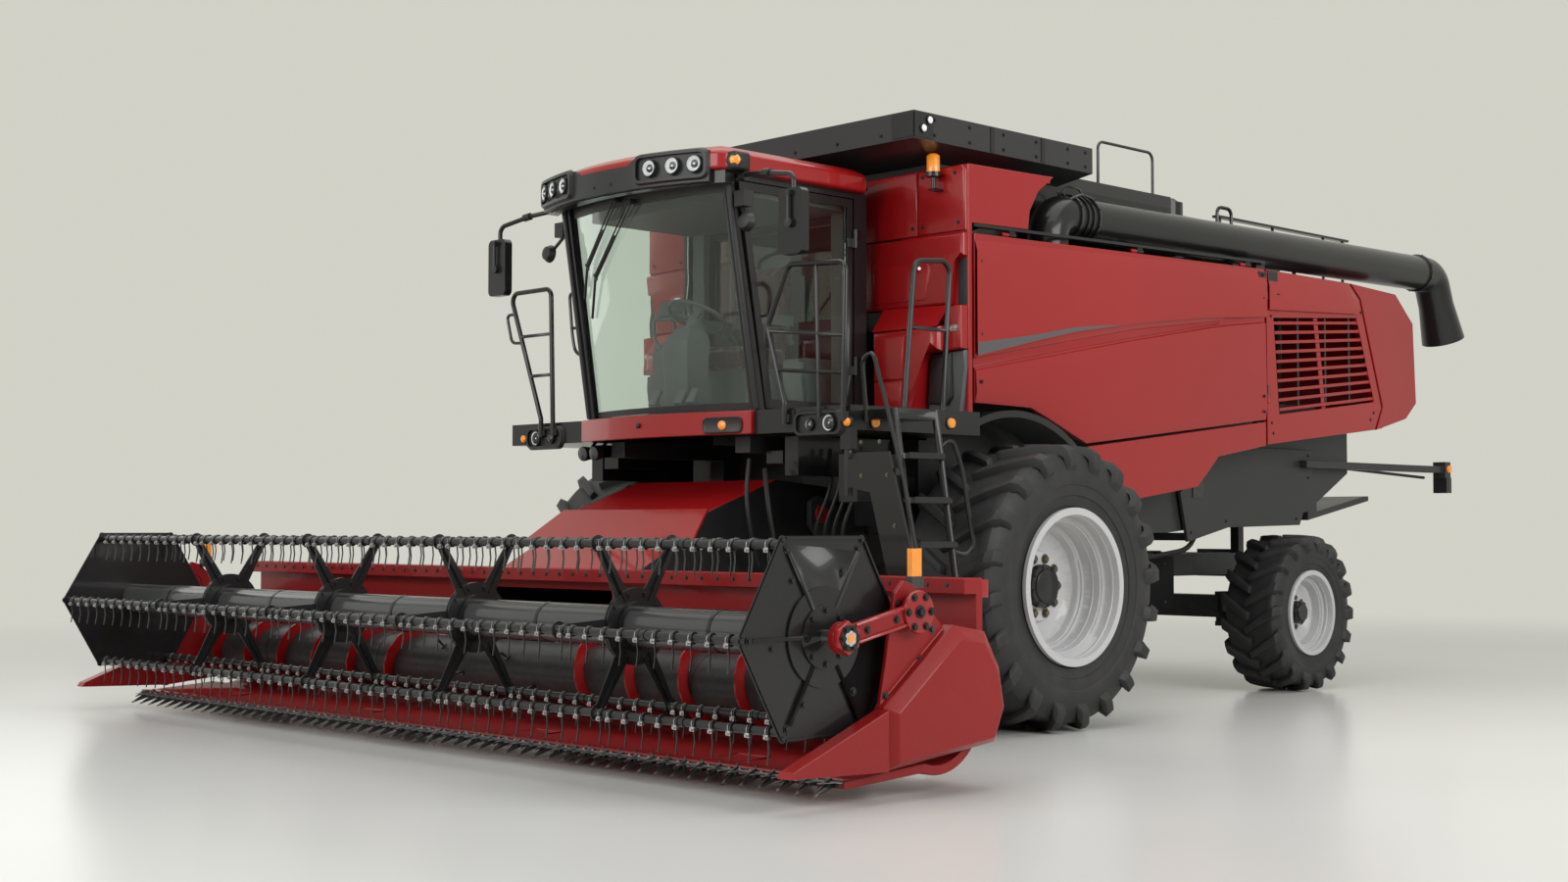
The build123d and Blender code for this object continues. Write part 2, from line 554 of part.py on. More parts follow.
def engine_deck():
    """Deck over the engine with hand rails, intake, air cleaner, exhaust and two boxes."""
    deck = block(-CASING_X, CASING_X, TANK_REAR_Y, 4500, 3200, 3240)
    legs = []
    for x in (-1100, 1040):
        for y in (2560, 4200):
            legs.append(block(x, x + 60, y, y + 60, CASING_TOP_Z, 3201))
    rails = []
    for x in (-1120, 1120):
        rails.append(bent_tube([(x, 2650, 3239), (x, 2650, 3700), (x, 4430, 3700), (x, 4430, 3239)], RAIL_R, 80))
        rails.append(rod((x, 3500, 3239), (x, 3500, 3700), RAIL_R - 4))
    intake = cylinder_z(130, 3239, 3600, 700, 2800).fuse(cylinder_z(190, 3600, 3760, 700, 2800))
    cooler_box = block(-1020, -200, 3000, 4200, 3239, 3600)
    tool_box = block(400, 1030, 3620, 4360, 3239, 3560)
    cleaner = cylinder_x(165, 150, 920, 3340, 3500)
    feet = [block(x, x + 60, 3280, 3400, 3239, 3400) for x in (280, 740)]
    snorkel = cylinder_z(75, 3600, 3801, 620, 3340).fuse(cylinder_z(125, 3800, 3930, 620, 3340))
    exhaust = cylinder_z(62, 3239, 3920, -550, 2800)
    whole = fused([deck] + legs + rails + [intake, cooler_box, tool_box, cleaner, snorkel, exhaust] + feet)
    for hollow in (block(-1014, -206, 3006, 4194, 3199, 3594), block(406, 1024, 3626, 4354, 3199, 3554),
                   cylinder_x(159, 149, 914, 3340, 3500)):
        whole -= hollow
    return whole


# ---------------------------------------------------------------- unloading auger
def unloader():
    """Upright elbow on the tank side and the swinging tube with its spout."""
    turret_top = UNLOADER_Z - 260
    turret = cylinder_z(UNLOADER_R, 2320, turret_top, UNLOADER_X, UNLOADER_Y)
    foot = block(TANK_X, UNLOADER_X, UNLOADER_Y - 120, UNLOADER_Y + 120, 2400, 2700)
    turret = fused([turret, foot])
    bore = UNLOADER_R - UNLOADER_WALL
    turret -= cylinder_z(bore, 2720, turret_top + 1, UNLOADER_X, UNLOADER_Y)

    end_z = UNLOADER_Z + UNLOADER_RISE
    neck_z = SPOUT_LOW_Z + SPOUT_LENGTH
    neck_y = UNLOADER_END_Y + (end_z - neck_z) * SPOUT_LEAN
    points = [(UNLOADER_X, UNLOADER_Y, turret_top + SEAT), (UNLOADER_X, UNLOADER_Y, UNLOADER_Z),
              (UNLOADER_X, UNLOADER_END_Y, end_z), (UNLOADER_X, neck_y, neck_z)]
    outer = bent_tube(points, UNLOADER_R, 180)
    inner = bent_tube(points, bore, 180)
    spout_axis = Vector(0, SPOUT_LEAN, -1).normalized()
    top = Vector(*points[3])
    low = top + spout_axis * SPOUT_LENGTH
    cone = loft([Plane(origin=top, z_dir=spout_axis) * Circle(UNLOADER_R),
                 Plane(origin=low, z_dir=spout_axis) * Circle(SPOUT_R)])
    hollow = loft([Plane(origin=top, z_dir=spout_axis) * Circle(bore),
                   Plane(origin=low, z_dir=spout_axis) * Circle(SPOUT_R - UNLOADER_WALL)])
    tube = (outer + cone) - inner - hollow
    return {"unloader_turret": turret, "unloading_tube": tube}


# ---------------------------------------------------------------- cab
def arc_strip(half, front, bulge, depth):
    """Plan of a curved sheet: bulges towards -Y by bulge, depth thick."""
    outer = ThreePointArc((-half, front, 0), (0, front - bulge, 0), (half, front, 0))
    inner = ThreePointArc((-half, front + depth, 0), (0, front + depth - bulge, 0), (half, front + depth, 0))
    ends = [Line((-half, front, 0), (-half, front + depth, 0)), Line((half, front, 0), (half, front + depth, 0))]
    return make_face([outer, inner] + ends)


def cab():
    """Cab shell, glass, the left door, roof cap, visor and what is inside."""
    low_z = CAB_FLOOR_Z
    top_z = CAB_TOP_Z
    nodes = {}
    floor = block(-CAB_X, CAB_X, CAB_FRONT_Y, CAB_REAR_Y, low_z - CAB_WALL, low_z)
    sill = extrude(Pos(0, 0, low_z - CAB_WALL) * arc_strip(CAB_X, CAB_FRONT_Y - 20, 120, 240), amount=CAB_WALL)
    rear_wall = block(-CAB_X, CAB_X, CAB_REAR_Y - CAB_WALL, CAB_REAR_Y, low_z, top_z)
    rear_wall -= block(-600, 600, CAB_REAR_Y - 100, CAB_REAR_Y + 1, 2700, 3350)
    top = block(-CAB_X, CAB_X, CAB_TOP_FRONT_Y - 30, CAB_REAR_Y, top_z, top_z + 40)
    brow = extrude(Pos(0, 0, top_z) * arc_strip(CAB_X, CAB_TOP_FRONT_Y - 30, 120, 240), amount=40)
    posts = []
    for side in (-1, 1):
        front_post = loft([
            Pos(side * (CAB_X - 30), CAB_FRONT_Y, low_z - 1) * Rectangle(60, 60),
            Pos(side * (CAB_X - 60), CAB_TOP_FRONT_Y, top_z + 1) * Rectangle(60, 60)], ruled=True)
        rear_post = block(*sorted((side * CAB_X, side * (CAB_X - 60))), CAB_REAR_Y - 120, CAB_REAR_Y,
                          low_z, top_z)
        posts += [front_post, rear_post]
    barrels = []
    for z in CAB_HINGE_Z:
        barrels.append(cab_hinge(z)[1])
    nodes["cab_frame"] = fused([floor, sill, rear_wall, top, brow] + posts + barrels)

    pane_low = Pos(0, 0, low_z + SEAT) * arc_strip(CAB_X - 60 - SEAT, CAB_FRONT_Y, 120, GLASS_T)
    pane_top = Pos(0, 0, top_z - SEAT) * arc_strip(CAB_X - 90 - SEAT, CAB_TOP_FRONT_Y, 120, GLASS_T)
    windscreen = loft([pane_low, pane_top], ruled=True)
    right_pane = prism_x([(CAB_FRONT_Y + 31, low_z + SEAT), (CAB_REAR_Y - 121, low_z + SEAT),
                          (CAB_REAR_Y - 121, top_z - SEAT), (CAB_TOP_FRONT_Y + 31, top_z - SEAT)],
                         -CAB_X + 40, -CAB_X + 40 + GLASS_T)
    rear_pane = block(-600 + SEAT, 600 - SEAT, CAB_REAR_Y - 40, CAB_REAR_Y - 40 + GLASS_T, 2700 + SEAT,
                      3350 - SEAT)
    nodes["cab_glass"] = apart([windscreen, right_pane, rear_pane])

    front_low = CAB_FRONT_Y + 42
    front_top = CAB_TOP_FRONT_Y + 42
    rear = CAB_REAR_Y - 134
    door_outer = [(front_low, low_z + 8), (rear, low_z + 8), (rear, top_z - 8), (front_top, top_z - 8)]
    door_inner = [(front_low + 50, low_z + 68), (rear - 55, low_z + 68), (rear - 55, top_z - 60),
                  (front_top + 58, top_z - 60)]
    door = prism_x(door_outer, CAB_X - 40, CAB_X) - prism_x(door_inner, CAB_X - 41, CAB_X + 1)
    nodes["cab_door_frame"] = fused([door] + [cab_hinge(z)[0] for z in CAB_HINGE_Z])
    glass_outline = [(front_low + 51, low_z + 68 + SEAT), (rear - 55 - SEAT, low_z + 68 + SEAT),
                     (rear - 55 - SEAT, top_z - 60 - SEAT), (front_top + 59, top_z - 60 - SEAT)]
    nodes["cab_door_glass"] = prism_x(glass_outline, CAB_X - 24, CAB_X - 24 + GLASS_T)

    plan = make_face([
        ThreePointArc((-ROOF_X, ROOF_FRONT_Y, 0), (0, ROOF_FRONT_Y - ROOF_BULGE, 0), (ROOF_X, ROOF_FRONT_Y, 0)),
        Polyline((ROOF_X, ROOF_FRONT_Y, 0), (ROOF_X, CAB_REAR_Y - 10, 0), (-ROOF_X, CAB_REAR_Y - 10, 0),
                 (-ROOF_X, ROOF_FRONT_Y, 0))])
    plan = fillet(plan.vertices(), ROOF_CORNER_R)
    cap = extrude(Pos(0, 0, top_z + 40) * plan, amount=ROOF_TOP_Z - top_z - 40)
    cap = chamfer(cap.faces().sort_by(Axis.Z)[-1].edges(), length=45, length2=90)
    nodes["cab_roof"] = cap
    nodes["roof_visor"] = extrude(
        Pos(0, 0, top_z - 40) * arc_strip(ROOF_X - 30, ROOF_FRONT_Y + 30, ROOF_BULGE, VISOR_DEPTH), amount=80)

    seat_base = block(-240, 240, -1010, -640, low_z, low_z + 330)
    cushion = block(-260, 260, -1090, -610, low_z + 330 + SEAT, low_z + 460)
    back = block(-250, 250, -640, -545, low_z + 460 + SEAT, low_z + 1080)
    nodes["chair_cushions"] = apart([cushion, back])
    below = block(-200, 200, -1600, -1000, low_z - 200, low_z)
    column = rod((0, -1350, low_z - 60), (0, -1240, low_z + 620), 60) - below
    wheel_plane = Plane(origin=(0, -1232, low_z + 670), x_dir=(1, 0, 0), z_dir=(0, 0.5, 1))
    ring_start = wheel_plane.from_local_coords((200, 0, 0))
    ring = sweep(Plane(origin=ring_start, z_dir=wheel_plane.y_dir) * Circle(14),
                 path=wheel_plane * Edge.make_circle(200))
    hub = extrude(wheel_plane * Circle(50), amount=-110)
    spokes = []
    for angle in (90, 210, 330):
        tip = wheel_plane.from_local_coords((195 * cos(radians(angle)), 195 * sin(radians(angle)), 0))
        middle = wheel_plane.from_local_coords((0, 0, -30))
        spokes.append(rod(tuple(middle), tuple(tip), 10))
    console = block(-560, -320, -1150, -620, low_z, low_z + 480)
    nodes["cab_controls"] = apart([fused([column, hub, ring] + spokes), console, seat_base])
    return nodes


def cab_hinge(z):
    """A hinge on the door's rear edge: the door's barrel and the post's barrel above it."""
    mine = cylinder_z(15, z, z + 60, CAB_HINGE_X, CAB_HINGE_Y)
    leaf = block(CAB_X - 6, CAB_HINGE_X, CAB_HINGE_Y - 60, CAB_HINGE_Y - 10, z + 2, z + 58)
    leaf += block(CAB_X + 4, CAB_HINGE_X, CAB_HINGE_Y - 20, CAB_HINGE_Y, z + 2, z + 58)
    theirs = cylinder_z(15, z + 60 + SEAT, z + 120, CAB_HINGE_X, CAB_HINGE_Y)
    plate = block(CAB_X - 6, CAB_HINGE_X, CAB_HINGE_Y + 8, CAB_HINGE_Y + 60, z + 62, z + 118)
    return fused([mine, leaf]), fused([theirs, plate])


# ---------------------------------------------------------------- platform, ladder, rails, lamps
def platform():
    """Decks with fenders on both sides and the red bumper under the windscreen."""
    low = PLATFORM_TOP_Z - PLATFORM_T
    deck = block(CAB_X, PLATFORM_X, PLATFORM_FRONT_Y, PLATFORM_REAR_Y, low, PLATFORM_TOP_Z)
    beam = block(560, CAB_X + 1, -900, -780, low, low + 80)
    fender_r = FRONT_TYRE_R + 130
    outer = cylinder_x(fender_r + 45, 1330, PLATFORM_X, 60, FRONT_TYRE_R + 55)
    inner = cylinder_x(fender_r, 1329, PLATFORM_X + 1, 60, FRONT_TYRE_R + 55)
    window = block(1329, PLATFORM_X + 1, PLATFORM_REAR_Y, 800, 1560, 2200)
    fender = (outer - inner) & window
    socket = block(LADDER_HINGE_X - 40, PLATFORM_X, PLATFORM_FRONT_Y, LADDER_HINGE_Y + 30, low - 118, low)
    left = fused([deck, beam, fender, socket])
    right = fused([deck, beam, fender])
    bumper = extrude(Pos(0, 0, low) * arc_strip(CAB_X, CAB_FRONT_Y - 90 - SEAT, 120, 70), amount=PLATFORM_T)
    bumper -= block(-CAB_X - 1, CAB_X + 1, CAB_FRONT_Y - 20, CAB_REAR_Y, low - 1, PLATFORM_TOP_Z + 1)
    return {"platforms": apart([left, other_side(right)]), "front_bumper": bumper}


def ladder():
    """Boarding ladder with its landing and front apron; it swings about a post under the deck's corner."""
    low = PLATFORM_TOP_Z - PLATFORM_T
    top_z = PLATFORM_TOP_Z - 30
    lean = (LADDER_FOOT_X - LADDER_TOP_X) / (top_z - LADDER_FOOT_Z)
    parts = []
    for y in (LADDER_FRONT_Y, LADDER_REAR_Y):
        parts.append(rod((LADDER_TOP_X, y, top_z), (LADDER_FOOT_X, y, LADDER_FOOT_Z), 22))
    for count in range(RUNGS):
        z = 640 + 265 * count
        x = LADDER_FOOT_X - (z - LADDER_FOOT_Z) * lean
        parts.append(block(x - 50, x + 50, LADDER_FRONT_Y, LADDER_REAR_Y, z, z + 30))
    parts.append(block(PLATFORM_X + 8, LADDER_TOP_X + 20, LADDER_FRONT_Y, LADDER_REAR_Y, top_z - 60, top_z))
    apron = prism_y([(1740, low - 140), (2000, low - 140), (2170, 1170), (2190, 900), (2020, 900),
                     (1850, 1500), (1740, 1520)], PLATFORM_FRONT_Y + 10, PLATFORM_FRONT_Y + 30)
    parts.append(apron)
    for z in (1000, 1600):
        x = LADDER_FOOT_X - (z - LADDER_FOOT_Z) * lean
        parts.append(block(x - 20, x + 20, PLATFORM_FRONT_Y + 25, LADDER_FRONT_Y + 5, z, z + 40))
    parts.append(cylinder_z(25, 1480, low - 118 - SEAT, LADDER_HINGE_X, LADDER_HINGE_Y))
    parts.append(block(LADDER_HINGE_X, 1760, PLATFORM_FRONT_Y + 10, PLATFORM_FRONT_Y + 30, 1530, 1700))
    return fused(parts)


def rail_clamps(xs):
    """Blocks that carry a front rail's legs on the deck's front face."""
    y = PLATFORM_FRONT_Y
    return [block(x - 24, x + 24, y - RAIL_STAND, y, 1940, 1990) for x in xs]


def guard_rails():
    """Tubular guard rails on both decks."""
    z0 = PLATFORM_TOP_Z
    foot = z0 - 20
    front_y = PLATFORM_FRONT_Y - RAIL_STAND
    front = bent_tube([(1165, front_y, 1930), (1165, front_y, 2060), (1010, front_y, 2550),
                       (1200, front_y, 2920), (1690, front_y, 2890), (1670, front_y, 1930)], RAIL_R, 60)
    bar = rod((1020, front_y, 2520), (1680, front_y, 2450), 13)
    clamps = rail_clamps((1165, 1670))
    outer = bent_tube([(1670, -1000, foot), (1670, -900, 2960), (1670, -560, 2990), (1670, -640, foot)],
                      RAIL_R, 80)
    cross = rod((1670, -950, 2540), (1670, -602, 2540), 13)
    right = bent_tube([(-1320, front_y, 1930), (-1320, front_y, 2060), (-1690, front_y, 2980),
                       (-1210, front_y, 2980), (-1180, front_y, 1930)], RAIL_R, 60)
    rungs = [rod((-1555, front_y, 2660), (-1197, front_y, 2660), 12),
             rod((-1440, front_y, 2370), (-1187, front_y, 2370), 12)]
    deck = block(-2000, 2000, PLATFORM_FRONT_Y, -300, z0 - 100, z0)
    return apart([fused([front, bar] + clamps), fused([outer, cross]) - deck,
                  fused([right] + rungs + rail_clamps((-1180, -1320)))])


def mirrors():
    """Mirror arms and heads on the cab's front corners."""
    root = (CAB_X + SEAT, CAB_TOP_FRONT_Y + 20, CAB_TOP_Z + 20)
    arm = bent_tube([root, (1200, -1740, 3470), (1490, -1780, 3420), (1490, -1780, 3300)], 16, 60)
    head = block(1390, 1590, -1810, -1750, 2930, 3330)
    head = fillet(head.edges().filter_by(Axis.Y), 40)
    arm -= block(0, CAB_X + SEAT, -2000, -1000, 3000, 4000)
    return both_sides(fused([arm, head]))


def beacon():
    """Amber warning beacon on a short post over the left front wall."""
    y = BODY_FRONT_Y - 140
    foot = block(1340, 1400, y - 20, BODY_FRONT_Y - 60, 3500, 3512)
    post = cylinder_z(14, 3510, 3590, 1370, y)
    base = cylinder_z(52, 3590, 3620, 1370, y)
    dome = cylinder_z(44, 3620, 3740, 1370, y)
    return fused([foot, post, base, chamfer(dome.edges().sort_by(Axis.Z)[-1:], 14)])


# ---------------------------------------------------------------- feeder house and header
def feeder_house():
    """Hollow feeder house with its pivot pins, red hood and cylinder lugs."""
    outer = [(FEEDER_FRONT_Y, 300), (FEEDER_FRONT_Y, 960), (-2040, 1180), (-1790, 1380),
             (-1170, 1600), (-680, 1560), (-680, 1000)]
    inner = [(FEEDER_FRONT_Y - 1, 340), (FEEDER_FRONT_Y - 1, 930), (-2030, 1140),
             (-1780, 1340), (-1170, 1560), (-679, 1520), (-679, 1045)]
    house = prism_x(outer, -FEEDER_X, FEEDER_X) - prism_x(inner, 40 - FEEDER_X, FEEDER_X - 40)
    hood = loft([
        Plane(origin=(0, -2040, 1182), x_dir=(1, 0, 0), z_dir=(0, -1, 0)) * Rectangle(1720, 30),
        Plane(origin=(0, -1790, 1396), x_dir=(1, 0, 0), z_dir=(0, -1, 0)) * Rectangle(1460, 30)], ruled=True)
    pins = []
    for side in (-1, 1):
        ends = sorted((side * (FEEDER_X - 1), side * (FEEDER_X + 62)))
        pins.append(cylinder_x(LIFT_PIN_R, ends[0], ends[1], LIFT_Y, LIFT_Z))
    eyes = []
    for x in (-CYL_X, CYL_X):
        for side in (-1, 1):
            low, high = sorted((x + side * 45, x + side * 70))
            eyes.append(prism_x([(-1800, ROD_EYE_Z - 45), (-1700, ROD_EYE_Z - 45), (-1640, 625), (-1860, 540)],
                                low, high))
        eyes.append(cylinder_x(CYL_PIN_R, x - 50, x + 50, ROD_EYE_Y, ROD_EYE_Z))
    return fused([house, hood] + pins + eyes)


def lift_cylinders():
    """Two lift cylinders: barrels on the axle, rods under the feeder house."""
    reach = Vector(0, ROD_EYE_Y - BARREL_Y, ROD_EYE_Z - BARREL_Z)
    length = reach.length
    along = reach.normalized()
    barrels = []
    rods = []
    for x in (-CYL_X, CYL_X):
        start = Vector(x, BARREL_Y, BARREL_Z)
        plane = Plane(origin=start, z_dir=along)
        body = extrude(plane.offset(76) * Circle(62), amount=length * 0.62 - 16)
        body -= extrude(plane.offset(110) * Circle(36), amount=length)
        eye = cylinder_x(48, x - 42, x + 42, BARREL_Y, BARREL_Z)
        neck = extrude(plane * Circle(34), amount=100)
        barrel = fused([body, eye, neck])
        barrel -= cylinder_x(CYL_PIN_R + SEAT, x - 43, x + 43, BARREL_Y, BARREL_Z)
        barrels.append(barrel)
        shaft = extrude(plane.offset(length * 0.30) * Circle(36 - SEAT), amount=length * 0.70 - 40)
        ring = cylinder_x(55, x - 40, x + 40, ROD_EYE_Y, ROD_EYE_Z)
        ring -= cylinder_x(CYL_PIN_R + 9, x - 41, x + 41, ROD_EYE_Y, ROD_EYE_Z)
        rods.append(fused([shaft - cylinder_x(50, x - 41, x + 41, ROD_EYE_Y, ROD_EYE_Z), ring]))
    return {"lift_barrels": apart(barrels), "lift_rods": apart(rods)}


def header():
    """Header floor and back sheet, end shields with dividers, knife, cross auger."""
    nodes = {}
    foot_y = AUGER_Y - TROUGH_R * sin(radians(20))
    foot_z = AUGER_Z - TROUGH_R * cos(radians(20))
    mid = radians(35)
    inner_arc = ThreePointArc((foot_y, foot_z), (AUGER_Y + TROUGH_R * sin(mid), AUGER_Z - TROUGH_R * cos(mid)),
                              (AUGER_Y + TROUGH_R, AUGER_Z))
    wall = SHEET_T
    far = TROUGH_R + wall
    out_y = AUGER_Y - far * sin(radians(20))
    out_z = AUGER_Z - far * cos(radians(20))
    outer_arc = ThreePointArc((out_y, out_z), (AUGER_Y + far * sin(mid), AUGER_Z - far * cos(mid)),
                              (AUGER_Y + far, AUGER_Z))
    lines = [
        Polyline((AUGER_Y + TROUGH_R, AUGER_Z), (AUGER_Y + TROUGH_R, 1040), (AUGER_Y + far, 1040),
                 (AUGER_Y + far, AUGER_Z)),
        Polyline((out_y, out_z), (HEADER_FRONT_Y, 78), (HEADER_FRONT_Y, 118), (foot_y, foot_z))]
    profile = make_face([inner_arc, outer_arc] + lines)
    plane = Plane(origin=(-HEADER_X, 0, 0), x_dir=(0, 1, 0), z_dir=(1, 0, 0))
    sheet = extrude(plane * profile, amount=2 * HEADER_X)
    sheet -= block(40 - FEEDER_X, FEEDER_X - 40, AUGER_Y + TROUGH_R - 2, AUGER_Y + far + 1, 360, 910)
    beam = block(-HEADER_X, HEADER_X, AUGER_Y + TROUGH_R - 90, AUGER_Y + TROUGH_R + 1, 960, 1040)
    skids = []
    for x in (-2600, -900, 900, 2600):
        skids.append(block(x - 120, x + 120, out_y - 250, out_y + 60, 40, out_z + 30))
    nodes["header_frame"] = fused([sheet, beam] + skids)

    end = [(-3240, 150), (-3240, 450), (-2750, 820), (-2510, 780), (-2400, 600), (-2360, 400), (-2440, 230)]
    shield = prism_x(end, HEADER_X, HEADER_X + 60)
    outer_end = [(-3180, 190), (-3180, 420), (-2740, 750), (-2560, 725), (-2460, 575), (-2425, 400), (-2490, 260)]
    shield += loft([shield_face(end, HEADER_X + 60), shield_face(outer_end, HEADER_X + 110)], ruled=True)
    divider = prism_x([(-3880, 170), (-3860, 200), (-3230, 440), (-3230, 150)], HEADER_X, HEADER_X + 90)
    bracket = prism_x([(-3230, 440), (-3120, 980), (-3060, 1040), (-2990, 1020), (-2760, 790), (-3000, 600)],
                      HEADER_X, HEADER_X + 25)
    left = fused([shield, divider, bracket])
    left -= cylinder_x(AUGER_PIN_R + SEAT, HEADER_X - 1, HEADER_X + 40, AUGER_Y, AUGER_Z)
    left -= cylinder_x(ARM_PIN_R + SEAT, HEADER_X - 1, HEADER_X + 26, ARM_PIVOT_Y, ARM_PIVOT_Z)
    nodes["header_ends"] = both_sides(left)

    bar = block(-HEADER_X + 10, HEADER_X - 10, HEADER_FRONT_Y - 40, HEADER_FRONT_Y, 84, 112)
    guards = []
    count = int(2 * (HEADER_X - 60) / GUARD_PITCH)
    start = -count * GUARD_PITCH / 2
    for index in range(count + 1):
        x = start + index * GUARD_PITCH
        guards.append(loft([
            Plane(origin=(x, HEADER_FRONT_Y - 30, 100), x_dir=(1, 0, 0), z_dir=(0, -1, 0)) * Rectangle(44, 34),
            Plane(origin=(x, GUARD_TIP_Y, 96), x_dir=(1, 0, 0), z_dir=(0, -1, 0)) * Rectangle(8, 8)],
            ruled=True))
    nodes["knife_bar"] = fused([bar] + guards)

    tube = cylinder_x(AUGER_TUBE_R, -HEADER_X + 30, HEADER_X - 30, AUGER_Y, AUGER_Z)
    shaft = cylinder_x(AUGER_PIN_R, -HEADER_X - 30, HEADER_X + 30, AUGER_Y, AUGER_Z)
    nodes["cross_auger"] = fused([tube, shaft] + flights())
    return nodes


def shield_face(outline, x):
    """A (y, z) outline as a face that stands at x."""
    plane = Plane(origin=(x, 0, 0), x_dir=(0, 1, 0), z_dir=(1, 0, 0))
    return plane * make_face(Polyline(*outline, close=True))


def flights():
    """Left and right hand flights that bring the crop to the middle, each a stair of folded plates."""
    root = AUGER_TUBE_R - 6
    depth = AUGER_R - root
    sections = []
    for count in range(FLIGHT_TURNS * FLIGHT_FACETS + 1):
        turns = count / FLIGHT_FACETS
        place = Pos(turns * AUGER_PITCH, 0, 0) * Rot(X=360 * turns) * Plane.XY
        sections.append(place * Pos(0, root + depth / 2) * Rectangle(FLIGHT_T, depth))
    flight = loft(sections, ruled=True)
    left = Pos(HEADER_X - 60 - AUGER_PITCH * FLIGHT_TURNS, AUGER_Y, AUGER_Z) * flight
    return [left, other_side(left)]


# ---------------------------------------------------------------- reel
def reel():
    """Reel arms, rotor with spiders and end plates, and six tined bats."""
    nodes = {}
    hub = Vector(0, REEL_Y, REEL_Z)
    pivot = Vector(0, ARM_PIVOT_Y, ARM_PIVOT_Z)
    slope = degrees(atan2(ARM_PIVOT_Z - REEL_Z, ARM_PIVOT_Y - REEL_Y))
    span = (pivot - hub).length
    plate = Pos(ARM_X, REEL_Y, REEL_Z) * Rot(X=slope) * block(0, 40, 0, span, -45, 45)
    boss = cylinder_x(75, ARM_X, ARM_X + 40, REEL_Y, REEL_Z)
    eye = cylinder_x(80, ARM_X, ARM_X + 40, ARM_PIVOT_Y, ARM_PIVOT_Z)
    pin = cylinder_x(ARM_PIN_R, HEADER_X, ARM_X + 1, ARM_PIVOT_Y, ARM_PIVOT_Z)
    arm = fused([plate, boss, eye, pin])
    arm -= cylinder_x(REEL_SHAFT_R + RUN, ARM_X - 1, ARM_X + 41, REEL_Y, REEL_Z)
    nodes["reel_arms"] = both_sides(arm)

    tube = cylinder_x(REEL_TUBE_R, -REEL_PLATE_X, REEL_PLATE_X, REEL_Y, REEL_Z)
    shaft = cylinder_x(REEL_SHAFT_R, -ARM_X - 45, ARM_X + 45, REEL_Y, REEL_Z)
    spiders = []
    for x in SPIDER_X:
        spiders.append(spider(x, x + 8))
    hexagon = []
    for count in range(BAT_COUNT):
        angle = 2 * pi * count / BAT_COUNT
        hexagon.append((REEL_Y + REEL_PLATE_R * cos(angle), REEL_Z + REEL_PLATE_R * sin(angle)))
    end_plate = prism_x(hexagon, REEL_PLATE_X, REEL_PLATE_X + 8)
    rib = block(REEL_PLATE_X, REEL_PLATE_X + 26, 140, BAT_R - 40, -9, 9)
    ribs = [Pos(0, REEL_Y, REEL_Z) * Rot(X=360 / BAT_COUNT * count) * rib for count in range(BAT_COUNT)]
    end_plate = end_plate.fuse(*ribs)
    end_plate += cylinder_x(150, REEL_PLATE_X, REEL_PLATE_X + 30, REEL_Y, REEL_Z)
    for count in range(BAT_COUNT):
        angle = 2 * pi * count / BAT_COUNT
        y = REEL_Y + BAT_R * cos(angle)
        z = REEL_Z + BAT_R * sin(angle)
        hole = cylinder_x(BAT_PIN_R + SEAT, REEL_PLATE_X - 1, REEL_PLATE_X + 9, y, z)
        end_plate -= hole
    nodes["reel_rotor"] = fused([tube, shaft, end_plate, other_side(end_plate)] + spiders)

    bat = reel_bat()
    for count in range(BAT_COUNT):
        angle = 2 * pi * count / BAT_COUNT
        place = Pos(0, REEL_Y + BAT_R * cos(angle), REEL_Z + BAT_R * sin(angle))
        nodes["reel_bat_%d" % (count + 1)] = place * bat
    return nodes


def spider(x0, x1):
    """One reel spider: a round flange and six arms that end in eyes round the bats."""
    disc = cylinder_x(180, x0, x1, REEL_Y, REEL_Z)
    arms = []
    for count in range(BAT_COUNT):
        turn = 360 / BAT_COUNT * count
        arm = prism_x([(0, -55), (BAT_R - 20, -26), (BAT_R - 20, 26), (0, 55)], x0, x1)
        eye = cylinder_x(BAT_TUBE_R + 22, x0, x1, BAT_R, 0)
        arms.append(Pos(0, REEL_Y, REEL_Z) * Rot(X=turn) * fused([arm, eye]))
    plate = fused([disc] + arms)
    for count in range(BAT_COUNT):
        angle = 2 * pi * count / BAT_COUNT
        y = REEL_Y + BAT_R * cos(angle)
        z = REEL_Z + BAT_R * sin(angle)
        plate -= cylinder_x(BAT_TUBE_R + SEAT, x0 - 1, x1 + 1, y, z)
    return plate


def reel_bat():
    """One bat tube along X through the origin with its row of hanging tines."""
    tube = cylinder_x(BAT_TUBE_R, -REEL_PLATE_X + 2, REEL_PLATE_X - 2, 0, 0)
    pin = cylinder_x(BAT_PIN_R, -REEL_PLATE_X - 6, REEL_PLATE_X + 6, 0, 0)
    tines = []
    count = int(2 * (REEL_PLATE_X - 90) / TINE_PITCH)
    start = -count * TINE_PITCH / 2
    for index in range(count + 1):
        x = start + index * TINE_PITCH
        if min(abs(x - s) for s in SPIDER_X) < 20:
            x += 24
        tines.append(block(x - 4, x + 4, -4 - BAT_TUBE_R + 6, 4 - BAT_TUBE_R + 6, -TINE_DROP, 0))
    return fused([tube, pin] + tines)


